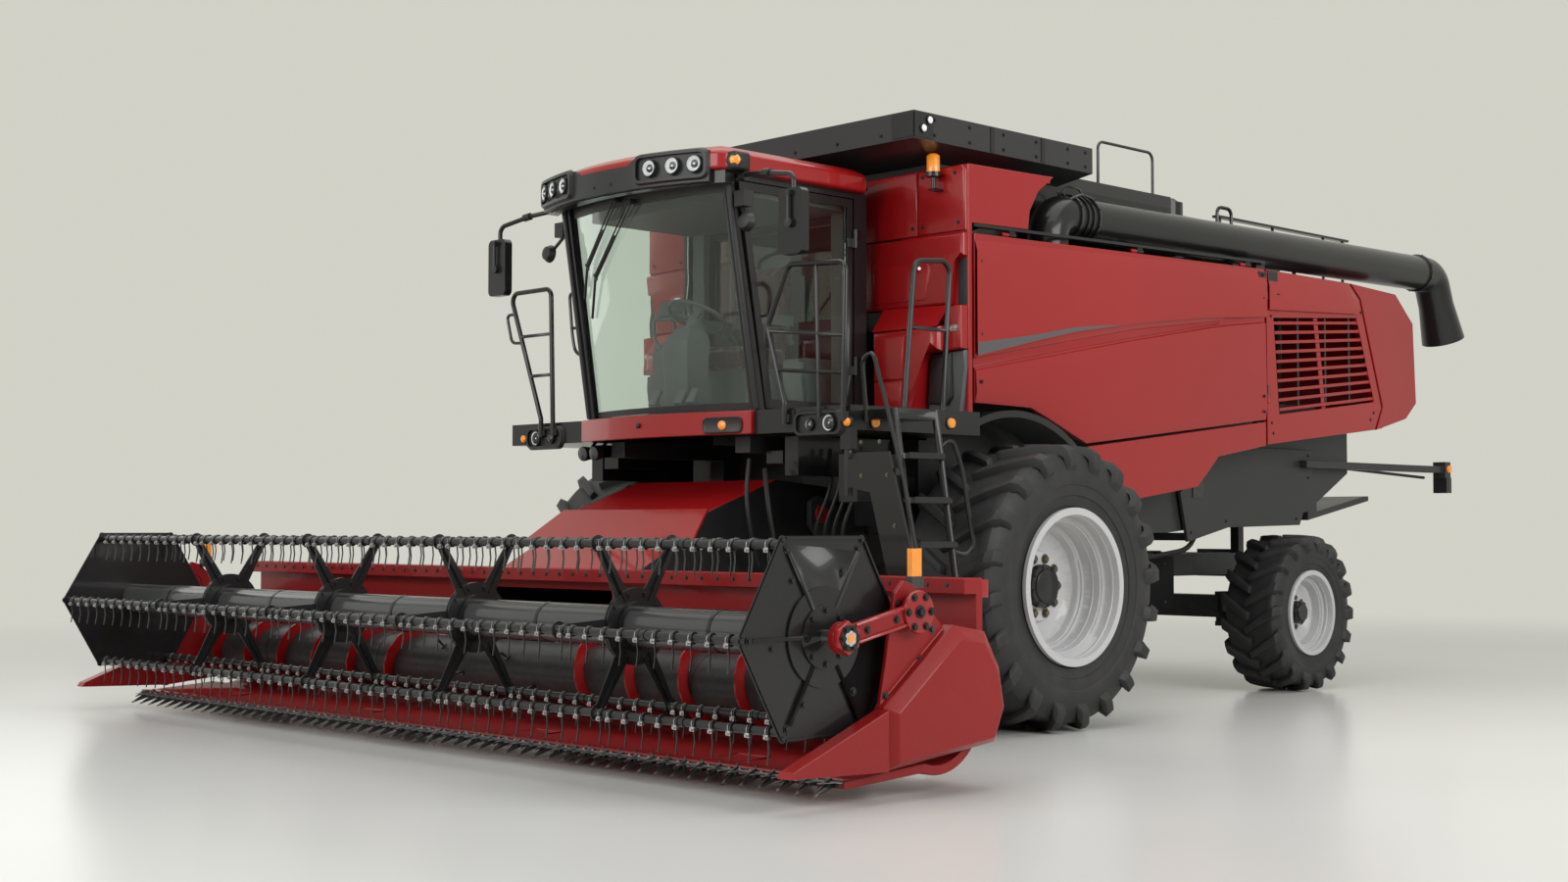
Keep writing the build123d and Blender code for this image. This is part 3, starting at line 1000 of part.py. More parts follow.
# ---------------------------------------------------------------- tail
def tail():
    """Straw spreader pan and the rear lamp arms."""
    pan = prism_x([(4560, 1350), (4560, 1400), (5480, 1560), (5550, 1560), (5550, 1520)], -1150, 1150)
    slope = (TAIL_HIGH[1] - TAIL_LOW[1]) / (TAIL_HIGH[0] - TAIL_LOW[0])
    top = [(y, TAIL_LOW[1] + (y - TAIL_LOW[0]) * slope) for y in (4560, 4700)]
    hanger = prism_x([(4560, 1380), top[0], top[1], (4700, 1400)], -1150, -1100)
    pan = fused([pan, hanger, other_side(hanger)])
    arm = block(LAMP_ARM_X - 35, LAMP_ARM_X + 35, 4300, LAMP_ARM_END_Y - 60, 1780, 1840)
    lamp = block(LAMP_ARM_X - 60, LAMP_ARM_X + 60, LAMP_ARM_END_Y - 100, LAMP_ARM_END_Y, 1730, 1880)
    return {"spreader_pan": pan, "rear_lamp_arms": both_sides(fused([arm, lamp]))}


def build():
    """Every node by name, in stations from the front axle."""
    nodes = {}
    nodes.update(wheels())
    nodes.update(axles())
    nodes.update(main_frame())
    nodes.update(casing())
    nodes["side_door_left"] = side_door()
    nodes["side_door_right"] = other_side(side_door())
    nodes["door_rails"] = both_sides(door_rails())
    nodes["side_skirts"] = both_sides(skirt())
    nodes["grille_door_left"] = grille_door()
    nodes["grille_door_right"] = other_side(grille_door())
    nodes["rear_hood"] = rear_hood()
    nodes["body_panels"] = body_panels()
    nodes["grain_tank"] = grain_tank()
    nodes["tank_extension"] = tank_extension()
    nodes["engine_deck"] = engine_deck()
    nodes.update(unloader())
    nodes.update(cab())
    nodes.update(platform())
    nodes["ladder"] = ladder()
    nodes["guard_rails"] = guard_rails()
    nodes["mirrors"] = mirrors()
    nodes["beacon"] = beacon()
    nodes["feeder_house"] = feeder_house()
    nodes.update(lift_cylinders())
    nodes.update(header())
    nodes.update(reel())
    nodes.update(tail())
    return nodes


os.makedirs("parts", exist_ok=True)
for name, shape in build().items():
    export_step(Pos(0, FRONT_AXLE_Y, 0) * shape, "parts/" + name + ".step")
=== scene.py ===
# %% [markdown]
# # A combine harvester, dressed for the studio
# The solid parts of the machine come from a CAD model that is already packed. This lesson gives them
# their finish, adds the small pieces that CAD leaves out, and sets up a camera and a soft studio.
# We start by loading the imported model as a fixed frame: every piece below is placed from it.

# %% Load the frame
import json
import math

import bmesh
import bpy
from mathutils import Matrix, Vector


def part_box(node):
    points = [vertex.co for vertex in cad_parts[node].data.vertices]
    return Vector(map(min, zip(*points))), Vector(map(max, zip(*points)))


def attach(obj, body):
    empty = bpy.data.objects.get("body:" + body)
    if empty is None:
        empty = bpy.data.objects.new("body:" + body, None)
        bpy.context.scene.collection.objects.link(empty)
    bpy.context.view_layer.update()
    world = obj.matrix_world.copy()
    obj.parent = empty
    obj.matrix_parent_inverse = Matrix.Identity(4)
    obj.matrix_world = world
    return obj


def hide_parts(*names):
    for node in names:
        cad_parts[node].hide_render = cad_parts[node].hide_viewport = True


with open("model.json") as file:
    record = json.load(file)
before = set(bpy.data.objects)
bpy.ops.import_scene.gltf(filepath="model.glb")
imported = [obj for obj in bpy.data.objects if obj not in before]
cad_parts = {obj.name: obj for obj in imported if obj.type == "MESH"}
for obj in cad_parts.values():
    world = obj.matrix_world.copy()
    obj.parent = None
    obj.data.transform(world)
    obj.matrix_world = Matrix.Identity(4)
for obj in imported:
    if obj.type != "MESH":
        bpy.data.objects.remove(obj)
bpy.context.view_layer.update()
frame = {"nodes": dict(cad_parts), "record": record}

# %% [markdown]
# ## Where things are
# The machine is drawn in stations: distances along it are measured from the front axle. The frame's
# origin is under the middle of the whole machine instead, so one small helper turns a station into a
# place. The front tyre tells us where the axle is, whatever size the model has.

# %% Stations
tyre_low, tyre_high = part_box("tyre_front_left")
FRONT_AXLE_Y = (tyre_low.y + tyre_high.y) / 2


def at(x, y, z):
    """The place of a point given as left, station and height, in metres."""
    return Vector((x, y + FRONT_AXLE_Y, z))


print("front axle at y =", round(FRONT_AXLE_Y, 3))

# %% [markdown]
# ## The camera
# A long machine looks natural from a little way off with a slightly long lens. The camera stands in
# front of the left corner, low, and looks up by a couple of degrees, so that the header comes towards
# the viewer and the tank stands against the backdrop.

# %% Camera
camera_data = bpy.data.cameras.new("studio_camera")
camera_data.sensor_width = 36.0
camera_data.lens = 45.13
camera = bpy.data.objects.new("studio_camera", camera_data)
camera.location = at(9.887, -10.005, 1.293)
camera.rotation_euler = (math.radians(90 + 2.508), 0.0, math.radians(45.878))
bpy.context.collection.objects.link(camera)
bpy.context.scene.camera = camera

# %% [markdown]
# ## Floor, backdrop and light
# The studio is one pale sweep. Its colour comes from its material and not from more light: the camera
# and mirror-like surfaces see the pale colour, and soft lamps above and beside the machine light it.

# %% Studio sweep
BACKDROP = (0.645, 0.640, 0.573, 1.0)
SWEEP_WIDE, SWEEP_DEEP = 70.0, 60.0    # half the floor's width and depth, in metres
WALL_HIGH = 70.0
BEND_STRIPS, BEND_STRIP = 8, 1.5       # the bend between floor and wall: its strips, and the length of each
SWEEP_TURN = math.radians(45.9)        # the sweep faces the camera


def verts_in(made):
    """The vertices among what a bmesh operator has made."""
    return [item for item in made["geom"] if isinstance(item, bmesh.types.BMVert)]


def mesh_data(name, mesh):
    """The plain mesh of a bmesh, which is used up."""
    data = bpy.data.meshes.new(name)
    mesh.to_mesh(data)
    mesh.free()
    return data


def studio_sweep():
    """A floor that turns up into a wall behind the machine."""
    mesh = bmesh.new()
    start = mesh.edges.new([mesh.verts.new((-SWEEP_WIDE, y, 0.0)) for y in (-SWEEP_DEEP, SWEEP_DEEP)])
    made = bmesh.ops.extrude_edge_only(mesh, edges=[start])
    bmesh.ops.translate(mesh, verts=verts_in(made), vec=(2 * SWEEP_WIDE, 0.0, 0.0))
    back = [edge for edge in mesh.edges if all(vert.co.y > SWEEP_DEEP - 1.0 for vert in edge.verts)]
    for turn in range(BEND_STRIPS):
        made = bmesh.ops.extrude_edge_only(mesh, edges=back)
        back = [item for item in made["geom"] if isinstance(item, bmesh.types.BMEdge)]
        lean = math.radians(90.0 * (turn + 0.5) / BEND_STRIPS)
        step = Vector((0.0, math.cos(lean), math.sin(lean))) * BEND_STRIP
        bmesh.ops.translate(mesh, verts=verts_in(made), vec=step)
    made = bmesh.ops.extrude_edge_only(mesh, edges=back)
    bmesh.ops.translate(mesh, verts=verts_in(made), vec=(0.0, 0.0, WALL_HIGH))
    bmesh.ops.rotate(mesh, verts=mesh.verts, cent=(0, 0, 0), matrix=Matrix.Rotation(SWEEP_TURN, 3, "Z"))
    bmesh.ops.recalc_face_normals(mesh, faces=mesh.faces)
    data = mesh_data("studio_sweep", mesh)
    data.polygons.foreach_set("use_smooth", [True] * len(data.polygons))
    sweep = bpy.data.objects.new("studio_sweep", data)
    bpy.context.collection.objects.link(sweep)
    return sweep


sweep = studio_sweep()

# %% [markdown]
# A plain studio colour would look painted on, so the sweep's colour fades: near the machine it is a
# real, slightly polished floor that takes shadows and reflections, and further off it becomes an even
# glow that the camera sees as the pale wall. The light path node keeps that glow out of the lighting.


# %% Node helpers
class Finish:
    """A material under construction, with short words for the nodes that this lesson uses."""

    def __init__(self, name):
        self.material = bpy.data.materials.new(name)
        self.material.use_nodes = True
        self.tree = self.material.node_tree
        self.shader = self.tree.nodes["Principled BSDF"]
        self.output = self.tree.nodes["Material Output"]
        self.place = self.tree.nodes.new("ShaderNodeTexCoord").outputs["Object"]

    def node(self, kind, **values):
        made = self.tree.nodes.new("ShaderNode" + kind)
        for key, value in values.items():
            if key in made.inputs:
                made.inputs[key].default_value = value
            else:
                setattr(made, key, value)
        return made

    def link(self, source, target):
        self.tree.links.new(source, target)

    def feed(self, source, socket):
        """Links a value or a colour to one of the shader's own sockets."""
        self.link(source, self.shader.inputs[socket])

    def combine(self, operation, first, second):
        """One value from two, by a maths operation."""
        made = self.node("Math", operation=operation)
        self.link(first, made.inputs[0])
        self.link(second, made.inputs[1])
        return made.outputs["Value"]

    def spread(self, value, low, high, **kinds):
        """A value stretched so that the low one becomes 0 and the high one 1."""
        made = self.node("MapRange", **kinds)
        made.inputs["From Min"].default_value = low
        made.inputs["From Max"].default_value = high
        self.link(value, made.inputs["Value"])
        return made.outputs["Result"]

    def wave(self, scale, direction):
        """Even waves along one axis of the piece's own place."""
        made = self.node("TexWave", Scale=scale, bands_direction=direction)
        self.link(self.place, made.inputs["Vector"])
        return made.outputs["Fac"]

    def set(self, **values):
        """Sets the shader's own sockets; a double underscore in a name stands for a space."""
        for key, value in values.items():
            self.shader.inputs[key.replace("__", " ")].default_value = value

    def noise(self, scale, detail=3.0, roughness=0.5, stretch=None):
        """A noise in the piece's own place, in metres, stretched if asked."""
        made = self.node("TexNoise", Scale=scale, Detail=detail, Roughness=roughness)
        place = self.place
        if stretch:
            mapping = self.node("Mapping", Scale=stretch)
            self.link(place, mapping.inputs["Vector"])
            place = mapping.outputs["Vector"]
        self.link(place, made.inputs["Vector"])
        return made.outputs["Fac"]

    def ramp(self, source, *stops):
        """A colour ramp from (position, colour or value) pairs."""
        made = self.node("ValToRGB")
        band = made.color_ramp.elements
        while len(band) < len(stops):
            band.new(0.5)
        for element, (position, colour) in zip(band, stops):
            element.position = position
            if isinstance(colour, (int, float)):
                colour = (colour, colour, colour, 1.0)
            element.color = colour
        self.link(source, made.inputs["Fac"])
        return made.outputs["Color"]

    def blend(self, amount, first, second, kind="MIX"):
        """A mix of two colours or colour outputs."""
        made = self.node("Mix", data_type="RGBA", blend_type=kind)
        sockets = (made.inputs["Factor"], made.inputs[6], made.inputs[7])
        for socket, value in zip(sockets, (amount, first, second)):
            if isinstance(value, bpy.types.NodeSocket):
                self.link(value, socket)
            else:
                socket.default_value = value
        return made.outputs[2]

    def bump(self, height, strength, distance):
        """Adds a bump from a height to the shader."""
        made = self.node("Bump", Strength=strength, Distance=distance)
        self.link(height, made.inputs["Height"])
        before = self.shader.inputs["Normal"].links
        if before:
            self.link(before[0].from_socket, made.inputs["Normal"])
        self.link(made.outputs["Normal"], self.shader.inputs["Normal"])

    def height_of(self, low, high):
        """A value that runs from 0 at the low height to 1 at the high one."""
        split = self.node("SeparateXYZ")
        self.link(self.place, split.inputs["Vector"])
        return self.spread(split.outputs["Z"], low, high)


# %% Studio finish
FLOOR, FLOOR_DULL = (0.80, 0.80, 0.76, 1.0), (0.77, 0.77, 0.73, 1.0)
FLOOR_EDGE = 7.0     # how far from the machine's middle the floor stays real, in metres
WALL_EDGE = 17.0     # where it has become an even glow


def seen_directly(tree):
    """1 for rays from the camera, off a mirror or through glass, and 0 for light that fills the scene."""
    path = tree.nodes.new("ShaderNodeLightPath")
    value = path.outputs["Is Camera Ray"]
    for kind in ("Is Glossy Ray", "Is Transmission Ray"):
        either = tree.nodes.new("ShaderNodeMath")
        either.operation = "MAXIMUM"
        tree.links.new(value, either.inputs[0])
        tree.links.new(path.outputs[kind], either.inputs[1])
        value = either.outputs["Value"]
    return value


def studio_finish():
    """Polished pale floor that turns into an even glow away from the machine."""
    finish = Finish("studio_floor")
    finish.set(Roughness=0.22, IOR=1.35)
    finish.feed(finish.ramp(finish.noise(0.35, 4.0), (0.3, FLOOR_DULL), (0.7, FLOOR)), "Base Color")
    glow = finish.node("Emission", Color=BACKDROP, Strength=1.0)
    length = finish.node("VectorMath", operation="LENGTH")
    finish.link(finish.place, length.inputs[0])
    away = finish.spread(length.outputs["Value"], FLOOR_EDGE, WALL_EDGE, interpolation_type="SMOOTHSTEP")
    mix = finish.node("MixShader")
    finish.link(finish.combine("MULTIPLY", away, seen_directly(finish.tree)), mix.inputs["Fac"])
    finish.link(finish.shader.outputs["BSDF"], mix.inputs[1])
    finish.link(glow.outputs["Emission"], mix.inputs[2])
    finish.link(mix.outputs["Shader"], finish.output.inputs["Surface"])
    return finish.material


sweep.data.materials.append(studio_finish())

# %% [markdown]
# The lamps are large and soft, as in a studio with a light ceiling: one wide panel overhead, one on
# each side and a weaker one in front. The world adds an even fill.

# %% Lamps and world
def lamp(name, place, aim, size, watts):
    """A large rectangular lamp that looks at a point."""
    data = bpy.data.lights.new(name, "AREA")
    data.shape = "RECTANGLE"
    data.size, data.size_y = size
    data.energy = watts
    made = bpy.data.objects.new(name, data)
    made.location = place
    made.rotation_euler = (Vector(aim) - Vector(place)).to_track_quat("-Z", "Y").to_euler()
    bpy.context.collection.objects.link(made)


lamp("ceiling_panel", (1.0, -1.0, 10.5), (0.0, 0.0, 1.0), (12.0, 14.0), 700.0)
lamp("left_panel", (13.0, -1.0, 6.0), (0.0, 0.0, 1.5), (9.0, 5.0), 740.0)
lamp("front_panel", (0.0, -15.0, 6.0), (0.0, -3.0, 1.5), (11.0, 5.0), 700.0)
lamp("right_panel", (-13.0, -4.0, 5.0), (0.0, -1.0, 1.5), (8.0, 6.0), 120.0)


def studio_world():
    """Pale for the camera, mirrors and glass; a soft even fill for everything else."""
    world = bpy.data.worlds.new("studio_world")
    bpy.context.scene.world = world
    world.use_nodes = True
    tree = world.node_tree
    fill = tree.nodes["Background"]
    fill.inputs["Color"].default_value = (0.95, 0.97, 1.0, 1.0)
    fill.inputs["Strength"].default_value = 0.26
    shown = tree.nodes.new("ShaderNodeBackground")
    shown.inputs["Color"].default_value = BACKDROP
    mix = tree.nodes.new("ShaderNodeMixShader")
    tree.links.new(seen_directly(tree), mix.inputs["Fac"])
    tree.links.new(fill.outputs["Background"], mix.inputs[1])
    tree.links.new(shown.outputs["Background"], mix.inputs[2])
    tree.links.new(mix.outputs["Shader"], tree.nodes["World Output"].inputs["Surface"])


studio_world()
bpy.context.scene.view_settings.view_transform = "Standard"

# %% [markdown]
# ## Paints, rubber, steel and glass
# Each finish is built from a principled shader. Real paint is never one flat colour: it has a little
# orange peel under its clear coat, a slow change of tone, and dust that dulls it towards the ground.


# %% Painted finishes
DUST = (0.17, 0.15, 0.12, 1.0)


def shade(colour, share):
    """A colour made darker or paler by a share of itself."""
    return tuple(channel * share for channel in colour[:3]) + (1.0,)


def paint(name, colour, dark, roughness, coat, dust=0.25):
    """A sprayed paint: two close tones, orange peel, a clear coat, and dust low down."""
    finish = Finish(name)
    base = finish.ramp(finish.noise(0.45, 2.0), (0.3, dark), (0.7, colour))
    specks = finish.ramp(finish.noise(26.0, 6.0, 0.65), (0.40, 0.0), (0.78, dust))
    dusty = finish.combine("MULTIPLY", finish.height_of(1.6, 0.1), specks)
    finish.feed(finish.blend(dusty, base, DUST), "Base Color")
    gloss = finish.noise(1.1, 2.0)
    finish.feed(finish.ramp(gloss, (0.3, roughness * 0.92), (0.7, roughness * 1.10)), "Roughness")
    finish.set(Coat__Weight=coat, Coat__Roughness=0.06, IOR=1.36)
    finish.bump(finish.noise(240.0, 1.0), 0.03, 0.0004)
    return finish.material


RED = paint("harvester_red", (0.36, 0.007, 0.009, 1.0), (0.325, 0.005, 0.007, 1.0), 0.34, 0.50, 0.10)
# the header's red is the body's red made darker, which paints in shade, with a thinner clear coat
HEADER_RED_PAINTED_SHADE = paint("header_red_painted_shade", (0.30, 0.006, 0.008, 1.0), (0.27, 0.005, 0.006, 1.0), 0.42, 0.20, 0.06)
# the collar's black is the chassis black made paler: painted light on the tank's lit collar
COLLAR_BLACK_PAINTED_LIGHT = paint("collar_black_painted_light", (0.030, 0.030, 0.031, 1.0), (0.022, 0.022, 0.023, 1.0), 0.36, 0.35, 0.05)
BLACK = paint("chassis_black", (0.014, 0.014, 0.015, 1.0), (0.009, 0.009, 0.010, 1.0), 0.30, 0.30, 0.05)
GREY = paint("frame_grey", (0.036, 0.037, 0.039, 1.0), (0.026, 0.027, 0.028, 1.0), 0.45, 0.1, 0.2)
SILVER = paint("rim_silver", (0.60, 0.60, 0.60, 1.0), (0.52, 0.52, 0.52, 1.0), 0.32, 0.25, 0.06)


# %% Rubber, plastic, steel
def rubber(name, colour, dust):
    """Tyre and hose rubber: nearly black, matt, with fine grain and a film of dust."""
    finish = Finish(name)
    speck = finish.noise(9.0, 8.0, 0.6)
    finish.feed(finish.ramp(speck, (0.35, colour), (0.72, shade(colour, dust))), "Base Color")
    finish.feed(finish.ramp(finish.noise(3.0), (0.3, 0.50), (0.7, 0.62)), "Roughness")
    finish.bump(finish.noise(160.0, 4.0, 0.7), 0.12, 0.0012)
    finish.set(IOR=1.45)
    return finish.material


def plastic(name, colour, roughness, grain):
    """Moulded plastic with a fine cast grain."""
    finish = Finish(name)
    finish.feed(finish.ramp(finish.noise(4.0, 4.0), (0.3, shade(colour, 0.85)), (0.7, colour)), "Base Color")
    finish.set(Roughness=roughness, IOR=1.46)
    cells = finish.node("TexVoronoi", Scale=900.0)
    finish.link(finish.place, cells.inputs["Vector"])
    finish.bump(cells.outputs["Distance"], grain, 0.0008)
    return finish.material


def steel(name, colour, roughness):
    """Bare worked steel with a brushed grain along the machine's width."""
    finish = Finish(name)
    brushed = finish.noise(40.0, 6.0, 0.7, stretch=(0.08, 1.0, 1.0))
    finish.feed(finish.ramp(brushed, (0.3, shade(colour, 0.6)), (0.7, colour)), "Base Color")
    finish.feed(finish.ramp(brushed, (0.3, roughness * 1.3), (0.7, roughness * 0.8)), "Roughness")
    finish.set(Metallic=1.0)
    finish.bump(brushed, 0.08, 0.0006)
    return finish.material


TYRE_RUBBER = rubber("tyre_rubber", (0.018, 0.018, 0.0185, 1.0), 1.6)
HOSE_RUBBER = rubber("hose_rubber", (0.012, 0.012, 0.012, 1.0), 1.4)
DARK_PLASTIC = plastic("dark_plastic", (0.017, 0.017, 0.018, 1.0), 0.42, 0.10)
GREY_PLASTIC = plastic("cab_plastic", (0.13, 0.14, 0.135, 1.0), 0.55, 0.14)
KNIFE_STEEL = steel("knife_steel", (0.36, 0.36, 0.37, 1.0), 0.34)
MIRROR_GLASS = steel("mirror_glass", (0.78, 0.80, 0.81, 1.0), 0.08)
BRIGHT_STEEL = steel("bright_steel", (0.62, 0.62, 0.63, 1.0), 0.26)
DARK_STEEL = steel("dark_steel", (0.11, 0.11, 0.112, 1.0), 0.38)


# %% Glass, lenses and cloth
def glass(name, colour, roughness=0.0, ior=1.45):
    """Clear tinted glass; a pane has two faces, so its colour counts twice."""
    finish = Finish(name)
    finish.feed(finish.ramp(finish.noise(0.8), (0.3, colour), (0.7, shade(colour, 0.97))), "Base Color")
    finish.set(Transmission__Weight=1.0, Roughness=roughness, IOR=ior)
    return finish.material


def lens(name, colour, glow):
    """A moulded lamp lens with fine ribs, and a faint glow of its own colour."""
    finish = Finish(name)
    finish.feed(finish.ramp(finish.noise(30.0), (0.3, shade(colour, 0.8)), (0.7, colour)), "Base Color")
    finish.set(Roughness=0.12, Coat__Weight=1.0, Coat__Roughness=0.03, Emission__Color=colour,
               Emission__Strength=glow)
    finish.bump(finish.wave(110.0, "Z"), 0.25, 0.001)
    return finish.material


def cloth(name, colour):
    """Woven chair cloth: two crossed waves for the threads, and a soft sheen."""
    finish = Finish(name)
    weave = finish.combine("MULTIPLY", finish.wave(180.0, "X"), finish.wave(180.0, "Z"))
    finish.feed(finish.ramp(weave, (0.1, shade(colour, 0.6)), (0.8, colour)), "Base Color")
    finish.set(Roughness=0.85, Sheen__Weight=0.4)
    finish.bump(weave, 0.4, 0.002)
    return finish.material


CAB_GLASS = glass("cab_glass", (0.84, 0.92, 0.88, 1.0), 0.0, 1.42)
AMBER = lens("amber_lens", (0.95, 0.30, 0.02, 1.0), 0.25)
CLEAR_LENS = lens("lamp_lens", (0.86, 0.87, 0.86, 1.0), 0.25)
RED_LENS = lens("red_lens", (0.55, 0.01, 0.01, 1.0), 0.1)
CHAIR_CLOTH = cloth("chair_cloth", (0.10, 0.035, 0.032, 1.0))

# %% [markdown]
# ## From CAD solids to finished pieces
# A CAD solid has knife-sharp edges. On a real machine every edge has a small radius that catches the
# light, so most nodes are shown as a copy: merged, with its flat areas joined, and bevelled. The copy
# stands for the node, which stays hidden for the physics. It rides on the same body.

# %% Rounded copies
node_body = {node: body for body, nodes in frame["record"]["behaviour"]["bodies"].items() for node in nodes}
pieces = {}
SHARP = math.radians(32)    # faces that meet at less than this angle are shaded as one


def middle_of(node):
    """The middle of a node's box."""
    low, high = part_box(node)
    return (Vector(low) + Vector(high)) / 2


def merged_copy(node):
    """A bmesh of a CAD node with its triangles joined where they are flat."""
    mesh = bmesh.new()
    mesh.from_mesh(frame["nodes"][node].data)
    bmesh.ops.remove_doubles(mesh, verts=mesh.verts, dist=0.00002)
    bmesh.ops.dissolve_limit(mesh, angle_limit=math.radians(0.6), verts=mesh.verts, edges=mesh.edges)
    return mesh


def show(name, mesh, finish, body):
    """Makes a visible piece from a bmesh, gives it its finish and lets it ride on a body."""
    data = mesh_data(name, mesh)
    piece = bpy.data.objects.new(name, data)
    bpy.context.collection.objects.link(piece)
    for one in finish if isinstance(finish, (list, tuple)) else [finish]:
        data.materials.append(one)
    data.polygons.foreach_set("use_smooth", [True] * len(data.polygons))
    data.set_sharp_from_angle(angle=SHARP)
    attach(piece, body)
    pieces[name] = piece
    return piece


def rounded(node, finish, width=0.005, segments=2):
    """The bevelled copy of a node that stands for it."""
    piece = show(node + "_skin", merged_copy(node), finish, node_body[node])
    if width:
        bevel = piece.modifiers.new("edge_radius", "BEVEL")
        bevel.width = width
        bevel.segments = segments
        bevel.limit_method = "ANGLE"
        bevel.angle_limit = SHARP
        bevel.use_clamp_overlap = False
        bevel.harden_normals = True
    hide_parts(node)
    return piece


def plain(node, finish):
    """Shows a CAD node itself, with a finish."""
    solid = frame["nodes"][node]
    solid.data.materials.clear()
    solid.data.materials.append(finish)


# %% Which finish each node gets
RED_NODES = ["side_door_left", "side_door_right", "grille_door_left", "grille_door_right", "side_skirts",
             "rear_hood", "body_panels", "front_bumper"]
HEADER_NODES = ["header_ends", "header_frame", "reel_arms"]
GREY_NODES = ["main_frame", "front_axle", "rear_axle", "knuckle_left", "knuckle_right", "separator_casing",
              "spreader_pan", "rear_lamp_arms", "engine_block"]
BLACK_NODES = ["door_rails", "grain_tank", "engine_deck", "unloader_turret", "unloading_tube", "cab_frame",
               "cab_door_frame", "roof_visor", "platforms", "ladder", "guard_rails", "lift_barrels",
               "mirrors"]
for node in RED_NODES:
    rounded(node, RED, 0.006)
rounded("cab_roof", RED, 0.022, 3)
# the header takes the darker copy of the red: painted shade
for node in HEADER_NODES:
    rounded(node, HEADER_RED_PAINTED_SHADE, 0.006)
for node in GREY_NODES:
    rounded(node, GREY, 0.004)
for node in BLACK_NODES:
    rounded(node, BLACK, 0.0)
# the tank's collar takes the paler black: painted light
rounded("tank_extension", COLLAR_BLACK_PAINTED_LIGHT, 0.0)
for node in ("cab_glass", "cab_door_glass"):
    plain(node, CAB_GLASS)
plain("lift_rods", BRIGHT_STEEL)


def split_finish(node, finishes, choose, width=0.0):
    """The bevelled copy of a node whose faces take one of several finishes by where they are."""
    piece = rounded(node, finishes, width)
    points = [vert.co for vert in piece.data.vertices]
    for face in piece.data.polygons:
        face.material_index = choose([points[index] for index in face.vertices], face.normal)
    return piece


BEACON_LENS_Z = 3.6195    # where the beacon's foot ends and its lens begins
FEEDER_SIDE_X = 0.72      # the feeder house's recessed side walls lie within this
RIM_BOSSES = (("front", 0.137), ("rear", 0.087))
SHAFT_R = 0.105           # the reel's centre tube, without its spiders
SHAFT_END_X, SHAFT_END_SHARE = 3.49, 0.94    # outside this the shaft is drawn in a little, clear of the arms


def beacon_part(corners, normal):
    """The lens for faces above the beacon's foot."""
    return 1 if min(corner.z for corner in corners) > BEACON_LENS_Z else 0


def feeder_part(corners, normal):
    """Black for the feeder house's recessed side walls."""
    return 1 if abs(normal.x) > 0.9 and abs(corners[0].x) < FEEDER_SIDE_X else 0


def within(node, radius):
    """Chooses the second finish for faces nearer than a radius to the X axis through a node's middle."""
    middle = middle_of(node)

    def choose(corners, normal):
        reach = max(math.hypot(corner.y - middle.y, corner.z - middle.z) for corner in corners)
        return 1 if reach < radius else 0
    return choose


# a paler, glossier grey than the black: partly the tube's own grey, partly a painted highlight
GUNMETAL_AND_PAINTED_HIGHLIGHT = paint("reel_gunmetal_and_painted_highlight", (0.060, 0.061, 0.063, 1.0), (0.045, 0.046, 0.048, 1.0), 0.24, 0.6, 0.02)
for side in ("left", "right"):
    for axle, boss in RIM_BOSSES:
        rim = "rim_%s_%s" % (axle, side)
        split_finish(rim, [SILVER, BLACK], within(rim, boss))
# the reel's centre tube takes the paler grey, which partly paints in its highlight
rotor = split_finish("reel_rotor", [BLACK, GUNMETAL_AND_PAINTED_HIGHLIGHT], within("reel_rotor", SHAFT_R))
REEL = middle_of("reel_rotor")
for vert in rotor.data.vertices:
    if abs(vert.co.x) > SHAFT_END_X:
        vert.co.y = REEL.y + (vert.co.y - REEL.y) * SHAFT_END_SHARE
        vert.co.z = REEL.z + (vert.co.z - REEL.z) * SHAFT_END_SHARE
split_finish("beacon", [BLACK, AMBER], beacon_part)
split_finish("feeder_house", [RED, BLACK], feeder_part, 0.006)
plain("cab_controls", GREY_PLASTIC)

# %% [markdown]
# ## Small shapes
# The detail pieces are built from a few shapes, each added to a bmesh by an operator: boxes, bars,
# discs, plates cut from an outline, hoses swept along points, and stamped copies of a small mesh.

# %% Shape helpers
def looking(direction):
    """The matrix that turns +Z to a direction."""
    return Vector(direction).to_track_quat("Z", "Y").to_matrix().to_4x4()


def turn_to(start, end):
    """The matrix that lays +Z along the line from start to end, with its origin at start."""
    return Matrix.Translation(Vector(start)) @ looking(Vector(end) - Vector(start))


def sideways(side, x, y, z):
    """A place given as a station, on the left (1) or the right (-1), with +Z looking out sideways."""
    return Matrix.Translation(at(side * x, y, z)) @ looking((side, 0, 0))


def box(mesh, x0, x1, y0, y1, z0, z1, turn=None):
    """A box between two corners, turned about its middle if asked."""
    middle = Vector(((x0 + x1) / 2, (y0 + y1) / 2, (z0 + z1) / 2))
    size = Matrix.Diagonal((abs(x1 - x0), abs(y1 - y0), abs(z1 - z0), 1.0))
    place = Matrix.Translation(middle) @ (turn or Matrix.Identity(4)) @ size
    return bmesh.ops.create_cube(mesh, size=1.0, matrix=place)["verts"]


def block(mesh, x0, x1, y0, y1, z0, z1, turn=None):
    """A box whose places along the machine are given as stations."""
    return box(mesh, x0, x1, y0 + FRONT_AXLE_Y, y1 + FRONT_AXLE_Y, z0, z1, turn)


def edges_of(verts):
    """The edges that end at some vertices."""
    return list({edge for vert in verts for edge in vert.link_edges})


